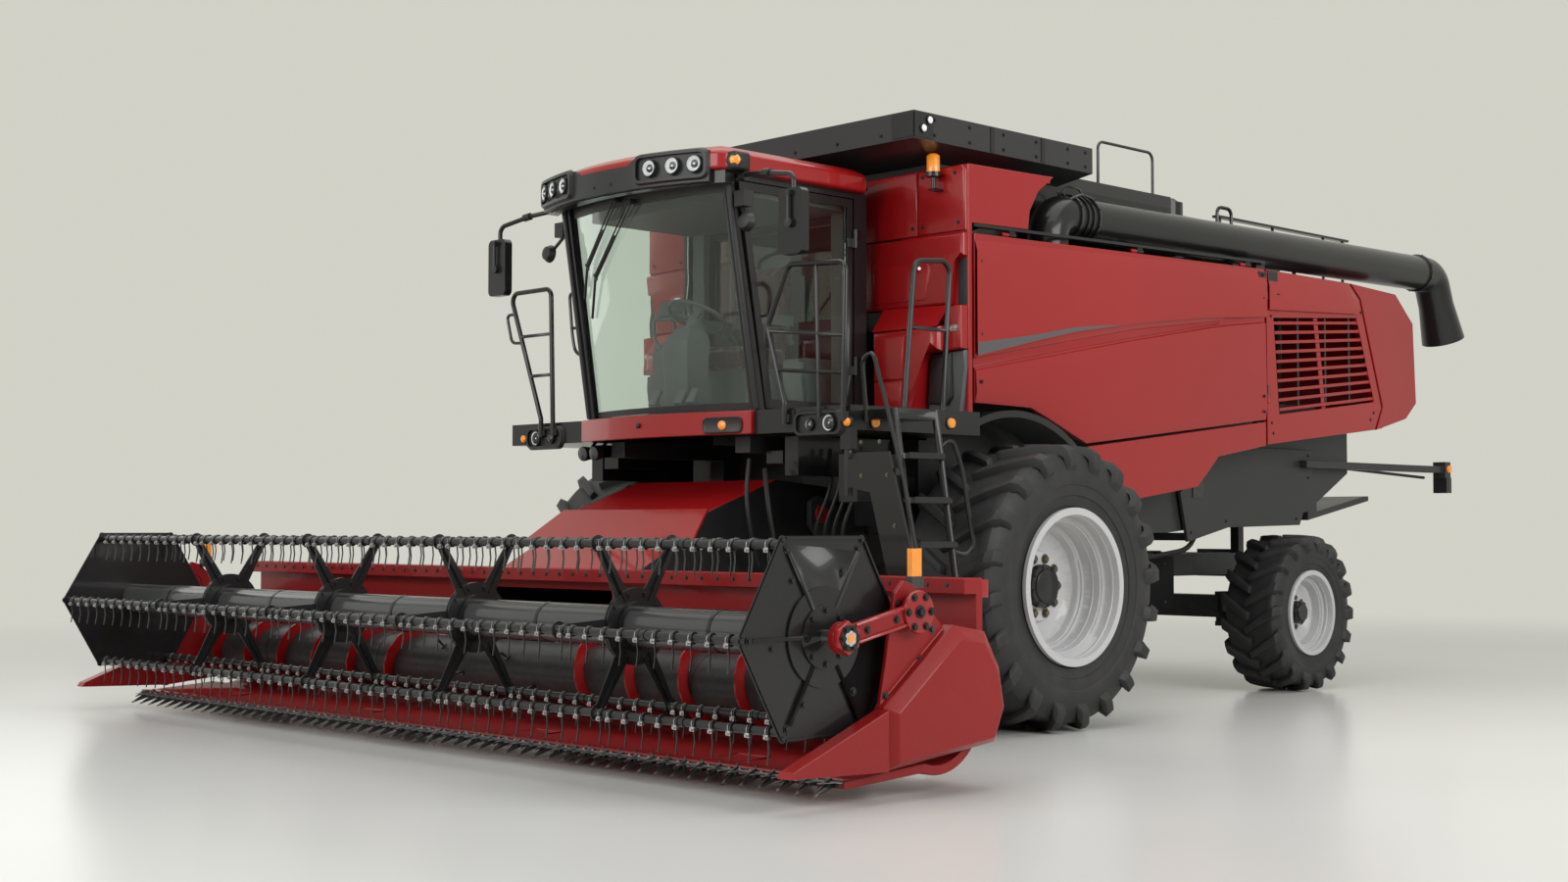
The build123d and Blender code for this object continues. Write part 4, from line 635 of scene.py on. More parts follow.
def bar(mesh, start, end, radius, sides=12, end_radius=None):
    """A round bar or cone between two points."""
    length = (Vector(end) - Vector(start)).length
    place = turn_to(start, end) @ Matrix.Translation((0.0, 0.0, length / 2))
    end_radius = radius if end_radius is None else end_radius
    return bmesh.ops.create_cone(mesh, cap_ends=True, segments=sides, radius1=radius, radius2=end_radius,
                                 depth=length, matrix=place)["verts"]


def slab(mesh, corners, move):
    """A flat outline carried along a vector."""
    face = mesh.faces.new([mesh.verts.new(corner) for corner in corners])
    moved = verts_in(bmesh.ops.extrude_face_region(mesh, geom=[face]))
    bmesh.ops.translate(mesh, verts=moved, vec=move)


def wire(mesh, path, radius, sides=4):
    """A round wire along the points of a path; its section has four sides or a multiple."""
    curve = bpy.data.curves.new("wire_path", "CURVE")
    curve.dimensions = "3D"
    curve.bevel_depth = radius
    curve.bevel_resolution = sides // 4 - 1
    curve.use_fill_caps = True
    line = curve.splines.new("POLY")
    line.points.add(len(path) - 1)
    for point, place in zip(line.points, path):
        point.co = (*place, 1.0)
    holder = bpy.data.objects.new("wire_path", curve)
    mesh.from_mesh(holder.to_mesh())
    holder.to_mesh_clear()
    bpy.data.objects.remove(holder)
    bpy.data.curves.remove(curve)


def hose(mesh, stations, radius, bend=0.05, sides=8):
    """A round hose or tube through stations, with its corners rounded."""
    wire(mesh, rounded_path([at(*station) for station in stations], bend), radius, sides)


def rounded_path(points, bend, steps=4):
    """The points of a path whose corners are arcs that start one bend length from the corner."""
    path = [points[0]]
    for before, corner, after in zip(points, points[1:], points[2:]):
        into = (corner - before).normalized()
        out = (after - corner).normalized()
        reach = min(bend, (corner - before).length * 0.45, (after - corner).length * 0.45)
        first = corner - into * reach
        last = corner + out * reach
        for step in range(steps + 1):
            share = step / steps
            path.append(first.lerp(corner, share).lerp(corner.lerp(last, share), share))
    path.append(points[-1])
    return path


def stamp(mesh, data, places):
    """Copies of a small mesh at each of the places."""
    for place in places:
        copy = data.copy()
        copy.transform(place)
        mesh.from_mesh(copy)
        bpy.data.meshes.remove(copy)


def small(build):
    """The mesh that a function adds to an empty bmesh."""
    mesh = bmesh.new()
    build(mesh)
    return mesh_data("stamp", finished(mesh))


def soften(mesh, edges, width, segments=2):
    """Rounds edges of a bmesh."""
    bmesh.ops.bevel(mesh, geom=edges, offset=width, segments=segments, affect="EDGES", profile=0.5,
                    material=-1, clamp_overlap=True)


def sharp_edges(mesh, angle=30):
    """The edges of a bmesh that turn by more than an angle."""
    return [edge for edge in mesh.edges
            if len(edge.link_faces) == 2 and edge.calc_face_angle(0.0) > math.radians(angle)]


def bolt(radius=0.012, height=0.008):
    """A hexagon bolt head with its washer, standing on the origin along +Z."""
    def build(mesh):
        bar(mesh, (0, 0, 0), (0, 0, height * 0.25), radius * 1.5, 12)
        bar(mesh, (0, 0, height * 0.25), (0, 0, height), radius, 6, radius * 0.93)
    return small(build)


def finished(mesh):
    """Turns the faces of closed shells outwards."""
    bmesh.ops.recalc_face_normals(mesh, faces=mesh.faces)
    return mesh


def ring_places(count, radius, x, y, z, facing=1, phase=0.0):
    """Matrices round a circle about X, each with +Z along the machine's X axis."""
    places = []
    for index in range(count):
        turn = 2 * math.pi * (index + phase) / count
        spot = Vector((x, y + radius * math.cos(turn), z + radius * math.sin(turn)))
        places.append(Matrix.Translation(spot) @ looking((facing, 0, 0)))
    return places


def lathe(mesh, profile, place, sides):
    """A surface turned about +Z from (radius, height) pairs."""
    rings = []
    for radius, height in profile:
        if radius == 0.0:
            rings.append([mesh.verts.new(place @ Vector((0, 0, height)))] * sides)
            continue
        rings.append([mesh.verts.new(place @ Vector((radius * math.cos(2 * math.pi * k / sides),
                                                     radius * math.sin(2 * math.pi * k / sides), height)))
                      for k in range(sides)])
    for one, two in zip(rings, rings[1:]):
        for k in range(sides):
            corners = list(dict.fromkeys((one[k], one[(k + 1) % sides], two[(k + 1) % sides], two[k])))
            if len(corners) > 2:
                mesh.faces.new(corners)


SMALL_BOLT = bolt(0.009, 0.007)
BOLT = bolt(0.014, 0.011)
LARGE_BOLT = bolt(0.022, 0.020)

# %% [markdown]
# ## Wheels
# The CAD tyre is a facetted stand-in. The finished one is spun from its section: a flat crown, round
# shoulders, a bulging wall with raised rings and a bead. Each lug is drawn in a flat strip, where one
# axis is the way round the tread, and is then wrapped round the tyre.

# %% Tyres
# the tyre wall's profile: share of the half width, and share of the way from belly to bead
TYRE_WALL = ((0.995, 0.16), (0.985, 0.20), (0.975, 0.21), (0.955, 0.50), (0.935, 0.52), (0.90, 0.74),
             (0.895, 0.82), (0.86, 0.84))


def section_radius(across, half, crown, belly):
    """Height of the tyre's outer skin at a distance from its middle plane."""
    share = min(1.0, abs(across) / half)
    drop = max(0.0, (share - 0.80) / 0.20)
    return crown - (crown - belly) * (1.0 - math.sqrt(max(0.0, 1.0 - drop * drop)))


def tyre_skin(mesh, half, crown, belly, bead, facets):
    """Spins the section about X through the origin."""
    points = []
    for count in range(13):
        across = half * math.sin(math.radians(90) * count / 12)
        points.append((across, section_radius(across, half, crown, belly)))
    points += [(half * wide, belly - down * (belly - bead)) for wide, down in TYRE_WALL]
    points.append((half - 0.034, bead))
    profile = [(-across, height) for across, height in reversed(points)] + points[1:]
    chain = [mesh.verts.new((across, 0.0, height)) for across, height in profile]
    edges = [mesh.edges.new(pair) for pair in zip(chain, chain[1:])]
    bmesh.ops.spin(mesh, geom=chain + edges, cent=(0, 0, 0), axis=(1, 0, 0), angle=2 * math.pi, steps=facets,
                   use_merge=True)


def lug_strip(half, height, belly, bead):
    """One lug in the flat strip: x across the section, y along the tread, z up, with sloping sides."""
    mesh = bmesh.new()
    reach = half + 0.16 * (belly - bead) + 0.03
    rows = []
    for count in range(13):
        share = count / 12
        x = -0.016 + (reach + 0.016) * share
        y = -0.020 + half * 0.62 * min(1.0, x / half) ** 0.92 if x > 0 else -0.020
        wide = 0.040 + 0.020 * share
        top = wide * 0.66
        rise = height * (1.0 if share < 0.93 else 0.9)
        rows.append([mesh.verts.new((x, y - wide, 0.0)), mesh.verts.new((x, y - top, rise)),
                     mesh.verts.new((x, y + top, rise)), mesh.verts.new((x, y + wide, 0.0))])
    for near, far in zip(rows, rows[1:]):
        for count in range(3):
            mesh.faces.new([near[count], far[count], far[count + 1], near[count + 1]])
    mesh.faces.new(rows[0])
    mesh.faces.new(rows[-1][::-1])
    soften(finished(mesh), sharp_edges(mesh, 25), 0.005, 2)
    return mesh_data("lug", mesh)


def lug_place(reach, up, half, crown, radius):
    """Across and out for a distance along the section: level first, then round and down the wall."""
    shoulder = half * 0.86
    bend = half * 0.14
    if reach <= shoulder:
        skin = crown - 0.010 * (reach / shoulder) ** 2
        return reach, min(radius, skin + up)
    turn = min((reach - shoulder) / (bend * 1.25), 1.0)
    lean = math.radians(78) * turn
    across = shoulder + (bend - 0.028) * math.sin(lean)
    skin = crown - 0.010 - (bend + 0.02) * (1.0 - math.cos(lean)) - max(0.0, reach - shoulder - bend * 1.25)
    return min(half, across + up * 0.62 * math.sin(lean)), min(radius, skin + up * (1.0 - 0.35 * turn))


def tyre_mesh(half, radius, belly, bead, lugs, height):
    """A whole tyre about X through the origin."""
    mesh = bmesh.new()
    crown = radius - height
    strip = lug_strip(half, height + 0.012, belly, bead)
    for side in (1, -1):
        for count in range(lugs):
            lug = strip.copy()
            turn = 2 * math.pi * (count + (0.5 if side < 0 else 0.0)) / lugs
            for vert in lug.vertices:
                across, out = lug_place(abs(vert.co.x), vert.co.z - 0.012, half, crown, radius)
                across *= math.copysign(1.0, vert.co.x)
                angle = turn + vert.co.y / radius
                vert.co = (across * side, out * math.sin(angle), out * math.cos(angle))
            mesh.from_mesh(lug)
            bpy.data.meshes.remove(lug)
    tyre_skin(mesh, half - 0.028, crown, belly, bead, 144)
    return finished(mesh)


def add_tyre(name, half, radius, belly, bead, lugs, height):
    """The finished tyre of one wheel, in place of the CAD one."""
    middle = middle_of(name)
    mesh = tyre_mesh(half, radius, belly, bead, lugs, height)
    bmesh.ops.translate(mesh, verts=mesh.verts, vec=(middle.x, middle.y, radius))
    piece = show(name + "_tread", mesh, TYRE_RUBBER, node_body[name])
    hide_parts(name)


# half width, outer radius, radii of the belly and the bead, lugs to a side, and their height
TYRES = {"front": (0.400, 0.914, 0.692, 0.472, 20, 0.050), "rear": (0.260, 0.617, 0.464, 0.312, 18, 0.042)}
for side in ("left", "right"):
    for axle, sizes in TYRES.items():
        add_tyre("tyre_%s_%s" % (axle, side), *sizes)


# %% Hubs and wheel nuts
DISC_OUT = 0.016    # the wheel disc stands this far outside the tyre's middle plane
FLANGE = 0.054      # how far the raised flange under the wheel nuts stands out of the disc


def hub_details(name, count, circle, cap, reach, rim_r, nut):
    """Black hub cap, bronze wheel nuts on a pale flange, and the rim's raised rings."""
    low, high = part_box("tyre" + name)
    middle = middle_of("tyre" + name)
    out = 1 if middle.x > 0 else -1
    face = middle.x + out * DISC_OUT
    axis = turn_to((face, middle.y, middle.z), (face + out, middle.y, middle.z))
    mesh = bmesh.new()
    lathe(mesh, [(cap, 0.0), (cap, reach - 0.008), (cap * 0.97, reach), (cap * 0.80, reach + 0.004),
                 (cap * 0.77, reach + 0.016), (cap * 0.70, reach + 0.020), (0.0, reach + 0.020)], axis, 48)
    stamp(mesh, SMALL_BOLT,
          ring_places(8, cap * 0.885, face + out * (reach + 0.001), middle.y, middle.z, out, 0.25))
    show("hub" + name, finished(mesh), BLACK, node_body["rim" + name])
    nuts, rings = bmesh.new(), bmesh.new()
    stamp(nuts, nut, ring_places(count, circle, face + out * (FLANGE + 0.002), middle.y, middle.z, out))
    show("nuts" + name, finished(nuts), NUT_BRONZE, node_body["rim" + name])
    flange = [(circle * 1.34, -0.004), (circle * 1.24, 0.048), (circle * 1.21, FLANGE), (cap - 0.004, FLANGE)]
    lathe(rings, flange, axis, 64)
    half = high.x - middle.x if out > 0 else middle.x - low.x
    bead = half - 0.060 - DISC_OUT
    for rise, depth in ((0.0, 0.030), (-0.014, 0.11), (-0.046, 0.155)):
        mid = rim_r - 0.012 + rise
        inside = bead - depth
        lathe(rings, [(mid + 0.004, inside - 0.012), (mid - 0.005, inside - 0.006),
                      (mid - 0.005, inside + 0.006), (mid + 0.004, inside + 0.012)], axis, 96)
    show("rings" + name, finished(rings), SILVER, node_body["rim" + name])


NUT_BRONZE = steel("nut_bronze", (0.24, 0.19, 0.13, 1.0), 0.34)
# wheel nuts, the radius of their circle, the cap's radius and reach, the rim's radius, and the nut
HUBS = {"front": (10, 0.182, 0.140, 0.105, 0.470, LARGE_BOLT), "rear": (8, 0.116, 0.090, 0.105, 0.310, BOLT)}
for side in ("left", "right"):
    for axle, sizes in HUBS.items():
        hub_details("_%s_%s" % (axle, side), *sizes)

# %% [markdown]
# ## Reel
# The reel stands in front of everything else, so it gets the most hardware: folded rims and bolts on its
# end plates, stiffening ribs and clamp collars on its spiders, and spring tines on its six bats. A
# spring tine is one wire: a short root, a coil round the bat, and a long prong that hangs down.


# %% Reel end plates and spiders
BAT_R = 0.492
PLATE_X = 3.450
PLATE_R = 0.540
SPIDERS = (-2.1, -0.7, 0.7, 2.1)


def round_x(radius, turn, x):
    """A place on a circle about the reel's axis; the turn is a share of a full turn."""
    angle = 2 * math.pi * turn
    return Vector((x, REEL.y + radius * math.cos(angle), REEL.z + radius * math.sin(angle)))


def reel_hardware():
    """Everything bolted to the reel's end plates, spiders and centre tube."""
    mesh = bmesh.new()
    for out in (1, -1):
        skin = out * (PLATE_X + 0.008)
        for count in range(6):
            corner = round_x(PLATE_R - 0.012, count / 6, skin)
            after = round_x(PLATE_R - 0.012, (count + 1) / 6, skin)
            lip = (after - corner).normalized()
            place = turn_to(corner + lip * 0.02, after - lip * 0.02)
            length = (after - corner).length - 0.04
            turn = place @ Matrix.Translation((0, 0, length / 2)) @ Matrix.Diagonal((0.022, 0.010, length, 1))
            bmesh.ops.create_cube(mesh, size=1.0, matrix=turn)
            for reach in (0.470, 0.520):
                place = Matrix.Translation(round_x(reach, count / 6, skin)) @ looking((out, 0, 0))
                stamp(mesh, BOLT, [place])
        stamp(mesh, BOLT, ring_places(12, 0.205, skin, REEL.y, REEL.z, out))
        stamp(mesh, BOLT, ring_places(6, 0.330, skin, REEL.y, REEL.z, out, 0.12))
        bar(mesh, (skin, REEL.y, REEL.z), (out * (PLATE_X + 0.020), REEL.y, REEL.z), 0.235, 48)
        stamp(mesh, BOLT, ring_places(8, 0.125, out * (PLATE_X + 0.030), REEL.y, REEL.z, out))
    for x in SPIDERS:
        for out, face in ((1, x + 0.008), (-1, x)):
            bar(mesh, (face, REEL.y, REEL.z), (face + out * 0.030, REEL.y, REEL.z), 0.128, 36)
            bar(mesh, (face, REEL.y, REEL.z), (face + out * 0.010, REEL.y, REEL.z), 0.198, 48)
            stamp(mesh, BOLT, ring_places(10, 0.172, face + out * 0.010, REEL.y, REEL.z, out))
            for count in range(6):
                near = round_x(0.150, count / 6, face)
                far = round_x(BAT_R - 0.035, count / 6, face)
                place = turn_to(near, far)
                length = (far - near).length
                turn = place @ Matrix.Translation((0, 0, length / 2))
                wedge = bmesh.ops.create_cube(mesh, size=1.0,
                                              matrix=turn @ Matrix.Diagonal((0.018, 0.006, length, 1)))
                bmesh.ops.translate(mesh, verts=wedge["verts"], vec=(out * 0.008, 0, 0))
                stamp(mesh, SMALL_BOLT, ring_places(1, 0.0, face, far.y, far.z, out))
    for x in (-2.78, -1.4, 0.0, 1.4, 2.78):
        bar(mesh, (x - 0.012, REEL.y, REEL.z), (x + 0.012, REEL.y, REEL.z), 0.108, 48)
    return finished(mesh)


show("reel_hardware", reel_hardware(), BLACK, "reel")


# %% Spring tines
def tine_wire(mesh):
    """A spring tine on a bat whose axis is X through the origin; the prong hangs down."""
    coil, points = 0.0262, 15    # the coil's radius, and its points: ten to a turn
    path = [Vector((-0.010, 0.020, 0.012))]
    for count in range(points + 1):
        angle = 2 * math.pi * count / 10
        path.append(Vector((-0.009 + 0.018 * count / points, coil * math.cos(angle), coil * math.sin(angle))))
    path += [Vector((0.010, y, z)) for y, z in ((-0.026, -0.030), (-0.020, -0.085), (-0.030, -0.150))]
    wire(mesh, path, 0.0045)


def bat_clip(mesh):
    """The clip and bolt that hold a tine's coil on its bat."""
    bar(mesh, (-0.015, 0, 0), (-0.006, 0, 0), 0.0245, 12)
    box(mesh, -0.012, 0.018, -0.034, -0.020, -0.034, -0.012)
    bar(mesh, (0.003, -0.033, -0.024), (0.003, -0.044, -0.024), 0.0075, 6)


TINE = small(tine_wire)
CLIP = small(bat_clip)
TINE_PITCH = 0.127


def dress_bat(node):
    """Tube with its ends, spring tines and clips, in place of the CAD bat."""
    low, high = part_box(node)
    axis = Vector((0, (low.y + high.y) / 2, high.z - 0.021))
    mesh = bmesh.new()
    bar(mesh, (low.x, axis.y, axis.z), (high.x, axis.y, axis.z), 0.014, 16)
    bar(mesh, (low.x + 0.006, axis.y, axis.z), (high.x - 0.006, axis.y, axis.z), 0.021, 20)
    for x in (-2.76, -1.38, 0.0, 1.38, 2.76):
        bar(mesh, (x - 0.02, axis.y, axis.z), (x + 0.02, axis.y, axis.z), 0.025, 20)
    tube = show(node + "_tube", finished(mesh), BLACK, node_body[node])
    count = int((high.x - low.x - 0.18) / TINE_PITCH)
    wires = bmesh.new()
    clips = bmesh.new()
    for index in range(count + 1):
        x = (index - count / 2) * TINE_PITCH
        nearest = min(SPIDERS, key=lambda spider: abs(spider - x))
        if abs(nearest - x) < 0.04:
            x = nearest + 0.05
        stamp(wires, TINE, [Matrix.Translation((x, axis.y, axis.z))])
        stamp(clips, CLIP, [Matrix.Translation((x, axis.y, axis.z))])
    for x in SPIDERS:
        bar(clips, (x - 0.016, axis.y, axis.z), (x + 0.024, axis.y, axis.z), 0.0235, 20)
    prongs = show(node + "_tines", finished(wires), DARK_STEEL, node_body[node])
    show(node + "_clips", finished(clips), BRIGHT_STEEL, node_body[node])
    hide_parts(node)
    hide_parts(node)


for count in range(1, 7):
    dress_bat("reel_bat_%d" % count)

# %% [markdown]
# ## Header
# Knife, auger, end shields and the reel's arms. The guards are forged fingers: a body that narrows
# to a point, with a lip over the knife. The knife's sections are thin steel triangles.


# %% Knife
def guard_shape(mesh):
    """One guard, its root at the origin and its point towards -Y."""
    box(mesh, -0.024, 0.024, -0.034, 0.03, -0.014, 0.010)
    finger = bar(mesh, (0, 0.010, 0.002), (0, -0.112, -0.050), 0.0225, 10, 0.0040)
    bar(mesh, (0, 0.000, 0.024), (0, -0.085, -0.010), 0.011, 8, 0.004)
    bmesh.ops.scale(mesh, vec=(0.80, 1, 1), verts=finger)
    stamp(mesh, SMALL_BOLT, [Matrix.Translation((x, -0.010, 0.010)) for x in (-0.012, 0.012)])


def tip_shape(mesh):
    """The bright point of one guard, paler steel that paints in its edge highlight."""
    bar(mesh, (0, -0.090, -0.0405), (0, -0.1175, -0.0520), 0.0084, 10, 0.0014)


def section_shape(mesh):
    """One knife section: a thin steel triangle with its point towards -Y."""
    slab(mesh, ((-0.037, 0, 0), (0.037, 0, 0), (0.008, -0.074, 0), (-0.008, -0.074, 0)), (0, 0, 0.003))


GUARD = small(guard_shape)
TIP = small(tip_shape)
SECTION = small(section_shape)
knife_low, knife_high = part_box("knife_bar")
knife_y = knife_low.y + 0.120
knife_z = 0.104
SECTION_PITCH, SECTION_HALF = 0.0762, 45    # the knife's sections: their pitch, and how many to each side


def knife():
    """Guards along the whole cutting width, the bar that carries them, and a hold-down strip."""
    mesh = bmesh.new()
    half = int((knife_high.x - 0.05) / TINE_PITCH)
    places = [Matrix.Translation((index * TINE_PITCH, knife_y, knife_z - 0.006))
              for index in range(-half, half + 1)]
    stamp(mesh, GUARD, places)
    box(mesh, knife_low.x, knife_high.x, knife_y - 0.004, knife_high.y, 0.086, 0.100)
    bar(mesh, (knife_low.x, knife_y + 0.010, 0.116), (knife_high.x, knife_y + 0.010, 0.116), 0.013, 10)
    tips = bmesh.new()
    stamp(tips, TIP, places)
    # the points take the paler steel: a painted edge highlight
    show("guard_tips", finished(tips), TIP_STEEL_PAINTED_HIGHLIGHT, "header")
    return finished(mesh)


def knife_sections():
    """The reciprocating knife: one section between each pair of guards, and its back strip."""
    mesh = bmesh.new()
    row = [index * SECTION_PITCH for index in range(-SECTION_HALF, SECTION_HALF + 1)]
    stamp(mesh, SECTION, [Matrix.Translation((x, knife_y - 0.008, knife_z + 0.002)) for x in row])
    box(mesh, knife_low.x, knife_high.x, knife_y - 0.018, knife_y - 0.002, knife_z + 0.004, knife_z + 0.010)
    stamp(mesh, SMALL_BOLT, [Matrix.Translation((x, knife_y - 0.010, knife_z + 0.010)) for x in row])
    return finished(mesh)


# paler steel for the guards' points: a painted edge highlight
TIP_STEEL_PAINTED_HIGHLIGHT = steel("tip_steel_painted_highlight", (0.30, 0.27, 0.25, 1.0), 0.30)
guards = show("knife_guards", knife(), DARK_STEEL, "header")
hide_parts("knife_bar")
show("knife_sections", knife_sections(), KNIFE_STEEL, "header")


# %% Auger
DRUM_R = 0.183    # the auger's drum and the bands round it


def auger():
    """The CAD auger with a dark drum and red flights, bands round the drum, and fingers in the middle."""
    centre = middle_of("cross_auger")
    mesh = merged_copy("cross_auger")
    for face in mesh.faces:
        middle = face.calc_center_median()
        out = math.hypot(middle.y - centre.y, middle.z - centre.z)
        face.material_index = 1 if out > DRUM_R and abs(middle.x) < PLATE_X else 0
    piece = show("cross_auger_skin", mesh, [GREY, RED], "crop_auger")
    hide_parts("cross_auger")
    fingers = bmesh.new()
    for index in range(14):
        x = -0.58 + index * 1.16 / 13
        turn = index * 0.38
        out = Vector((0, math.cos(turn * 2 * math.pi), math.sin(turn * 2 * math.pi)))
        start = Vector((x, centre.y, centre.z)) + out * 0.170
        bar(fingers, start, start + out * 0.075, 0.008, 8)
        bar(fingers, start, start + out * 0.018, 0.022, 12)
    for x in (-3.3, -2.6, -1.9, -1.2, 1.2, 1.9, 2.6, 3.3):
        bar(fingers, (x - 0.012, centre.y, centre.z), (x + 0.012, centre.y, centre.z), DRUM_R, 48)
    show("auger_fingers", finished(fingers), DARK_STEEL, "crop_auger")


auger()


# %% Reel arms, hubs and reflectors
def arm_details():
    """Hex hub, bearing ring and bolts on both reel arms."""
    red = bmesh.new()
    black = bmesh.new()
    for out in (1, -1):
        face = out * 3.600
        hub = Vector((face, REEL.y, REEL.z))
        pivot = at(out * 3.600, -3.02, 0.890)
        bar(red, hub, hub + Vector((out * 0.028, 0, 0)), 0.085, 6, 0.078)
        bar(red, pivot, pivot + Vector((out * 0.014, 0, 0)), 0.105, 40, 0.100)
        bar(black, hub + Vector((out * 0.028, 0, 0)), hub + Vector((out * 0.034, 0, 0)), 0.060, 32)
        stamp(black, BOLT, ring_places(6, 0.045, face + out * 0.034, hub.y, hub.z, out))
        stamp(black, BOLT, ring_places(6, 0.080, pivot.x + out * 0.014, pivot.y, pivot.z, out))
        stamp(black, LARGE_BOLT, ring_places(1, 0.0, pivot.x + out * 0.014, pivot.y, pivot.z, out))
        along = (pivot - hub).normalized()
        rise = Vector((0, -along.z, along.y))
        for share in (0.30, 0.70):
            spot = hub.lerp(pivot, share)
            stamp(black, BOLT, ring_places(1, 0.0, face, spot.y, spot.z, out))
        for edge in (-0.040, 0.040):
            start = hub + along * 0.08 + rise * edge
            end = pivot - along * 0.10 + rise * edge
            bar(red, start + Vector((out * 0.004, 0, 0)), end + Vector((out * 0.004, 0, 0)), 0.009, 8)
    soften(red, sharp_edges(red, 60), 0.003, 2)
    show("reel_arm_hubs", finished(red), RED, "reel_frame")
    show("reel_arm_bolts", finished(black), BLACK, "reel_frame")


def hub_lenses():
    """White ring and amber centre on each reel shaft."""
    ring = bmesh.new()
    eye = bmesh.new()
    for out in (1, -1):
        hub = Vector((out * 3.606, REEL.y, REEL.z))
        bar(ring, hub, hub + Vector((out * 0.034, 0, 0)), 0.036, 32)
        bar(eye, hub, hub + Vector((out * 0.038, 0, 0)), 0.024, 24, 0.020)
    show("reel_shaft_rings", finished(ring), SILVER, "reel")
    # the amber centres take the lens finish's faint glow though they are no lamps: a painted glow
    show("reel_shaft_lenses", finished(eye), AMBER, "reel")


arm_details()
hub_lenses()


def header_hardware():
    """Ribs and rails behind the header, bolts along its seams, and a reflector on each side."""
    red = bmesh.new()
    black = bmesh.new()
    amber = bmesh.new()
    low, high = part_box("header_frame")
    back = high.y
    for index in range(-4, 5):
        x = index * 0.78
        if abs(x) > 0.75:
            box(red, x - 0.035, x + 0.035, back - 0.002, back + 0.060, 0.32, 0.98)
    for depth, z0, z1 in ((0.080, 0.30, 0.40), (0.070, 0.94, 1.03)):
        box(red, low.x + 0.02, -0.74, back - 0.002, back + depth, z0, z1)
        box(red, 0.74, high.x - 0.02, back - 0.002, back + depth, z0, z1)
    block(red, low.x + 0.01, high.x - 0.01, -3.442, -3.36, 0.116, 0.128)
    soften(red, sharp_edges(red, 60), 0.004, 2)
    for index in range(-26, 27):
        x = index * 0.131
        stamp(black, SMALL_BOLT, [Matrix.Translation(at(x, -3.40, 0.128))])
        stamp(black, SMALL_BOLT, [Matrix.Translation((x, back - 0.140, 1.005)) @ looking((0, -1, 0))])
    for out in (1, -1):
        for y, z in ((-3.19, 0.50), (-3.10, 0.93), (-2.86, 0.80), (-2.95, 0.66)):
            stamp(black, BOLT, [sideways(out, 3.545, y, z)])
        block(amber, out * 3.500, out * 3.530, -2.985, -2.915, 1.050, 1.190)
        block(black, out * 3.494, out * 3.536, -2.992, -2.908, 1.000, 1.056)
    show("header_ribs", finished(red), RED, "header")
    show("header_bolts", finished(black), DARK_STEEL, "header")
    # the reflectors take the amber lens finish with its faint glow: a painted glow, as they are no lamps
    show("header_reflectors", finished(amber), AMBER, "header")


header_hardware()


# %% [markdown]
# ## The cab
# The roof carries a dark lamp panel that follows the curve of its front. Everything on it is placed by
# one function that gives the curve's place and direction at a distance from the middle, so a lamp
# sits square on the roof wherever it stands.

# %% Roof lamp panel
ROOF_LOW, ROOF_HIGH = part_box("cab_roof")
ROOF_HALF = ROOF_HIGH.x
ROOF_BULGE = 0.21    # how far the roof's front bows forward in the middle


def arc_front(x, half, corner_y, bulge):
    """Station of a curved front at a distance x from the middle."""
    radius = (half * half + bulge * bulge) / (2 * bulge)
    return corner_y - bulge + radius - math.sqrt(max(radius * radius - x * x, 0.0))


def roof_front(x):
    return arc_front(x, ROOF_HALF, ROOF_LOW.y - FRONT_AXLE_Y + ROOF_BULGE, ROOF_BULGE)


def facing_out(x, z, gap, front=roof_front):
    """A place on a curved front: +Z looks out of it and +Y stays up."""
    slope = (front(x + 0.01) - front(x - 0.01)) / 0.02
    out = Vector((slope, -1.0, 0.0)).normalized()
    spot = at(x, front(x), z) + out * gap
    side = Vector((0, 0, 1)).cross(out).normalized() * -1.0
    up = out.cross(side)
    turn = Matrix((side, up, out)).transposed().to_4x4()
    return Matrix.Translation(spot) @ turn


def curved_panel(mesh, columns, front, gap, depth):
    """A panel on a curved front, from (x, low z, high z) columns."""
    rows = []
    for x, low, high in columns:
        near = facing_out(x, low, gap, front)
        far = facing_out(x, low, gap - depth, front)
        rise = Vector((0, 0, high - low))
        corners = (near.translation, near.translation + rise, far.translation + rise, far.translation)
        rows.append([mesh.verts.new(corner) for corner in corners])
    for one, two in zip(rows, rows[1:]):
        for index in range(4):
            mesh.faces.new((one[index], one[index - 1], two[index - 1], two[index]))
    mesh.faces.new(rows[0])
    mesh.faces.new(rows[-1][::-1])


def steps(low, high, count):
    """Numbers from low to high in even steps."""
    return [low + (high - low) * index / count for index in range(count + 1)]


def pod_columns(x0, x1, low, high, corner, count=18):
    """Columns of a panel with rounded corners."""
    columns = []
    for share in steps(0.0, 1.0, count):
        x = x0 + (x1 - x0) * (0.5 - 0.5 * math.cos(math.pi * share))
        edge = max(0.0, corner - min(x - x0, x1 - x))
        cut = corner - math.sqrt(max(corner * corner - edge * edge, 0.0))
        cut = min(cut, corner - 0.003)
        columns.append((x, low + cut, high - cut))
    return columns


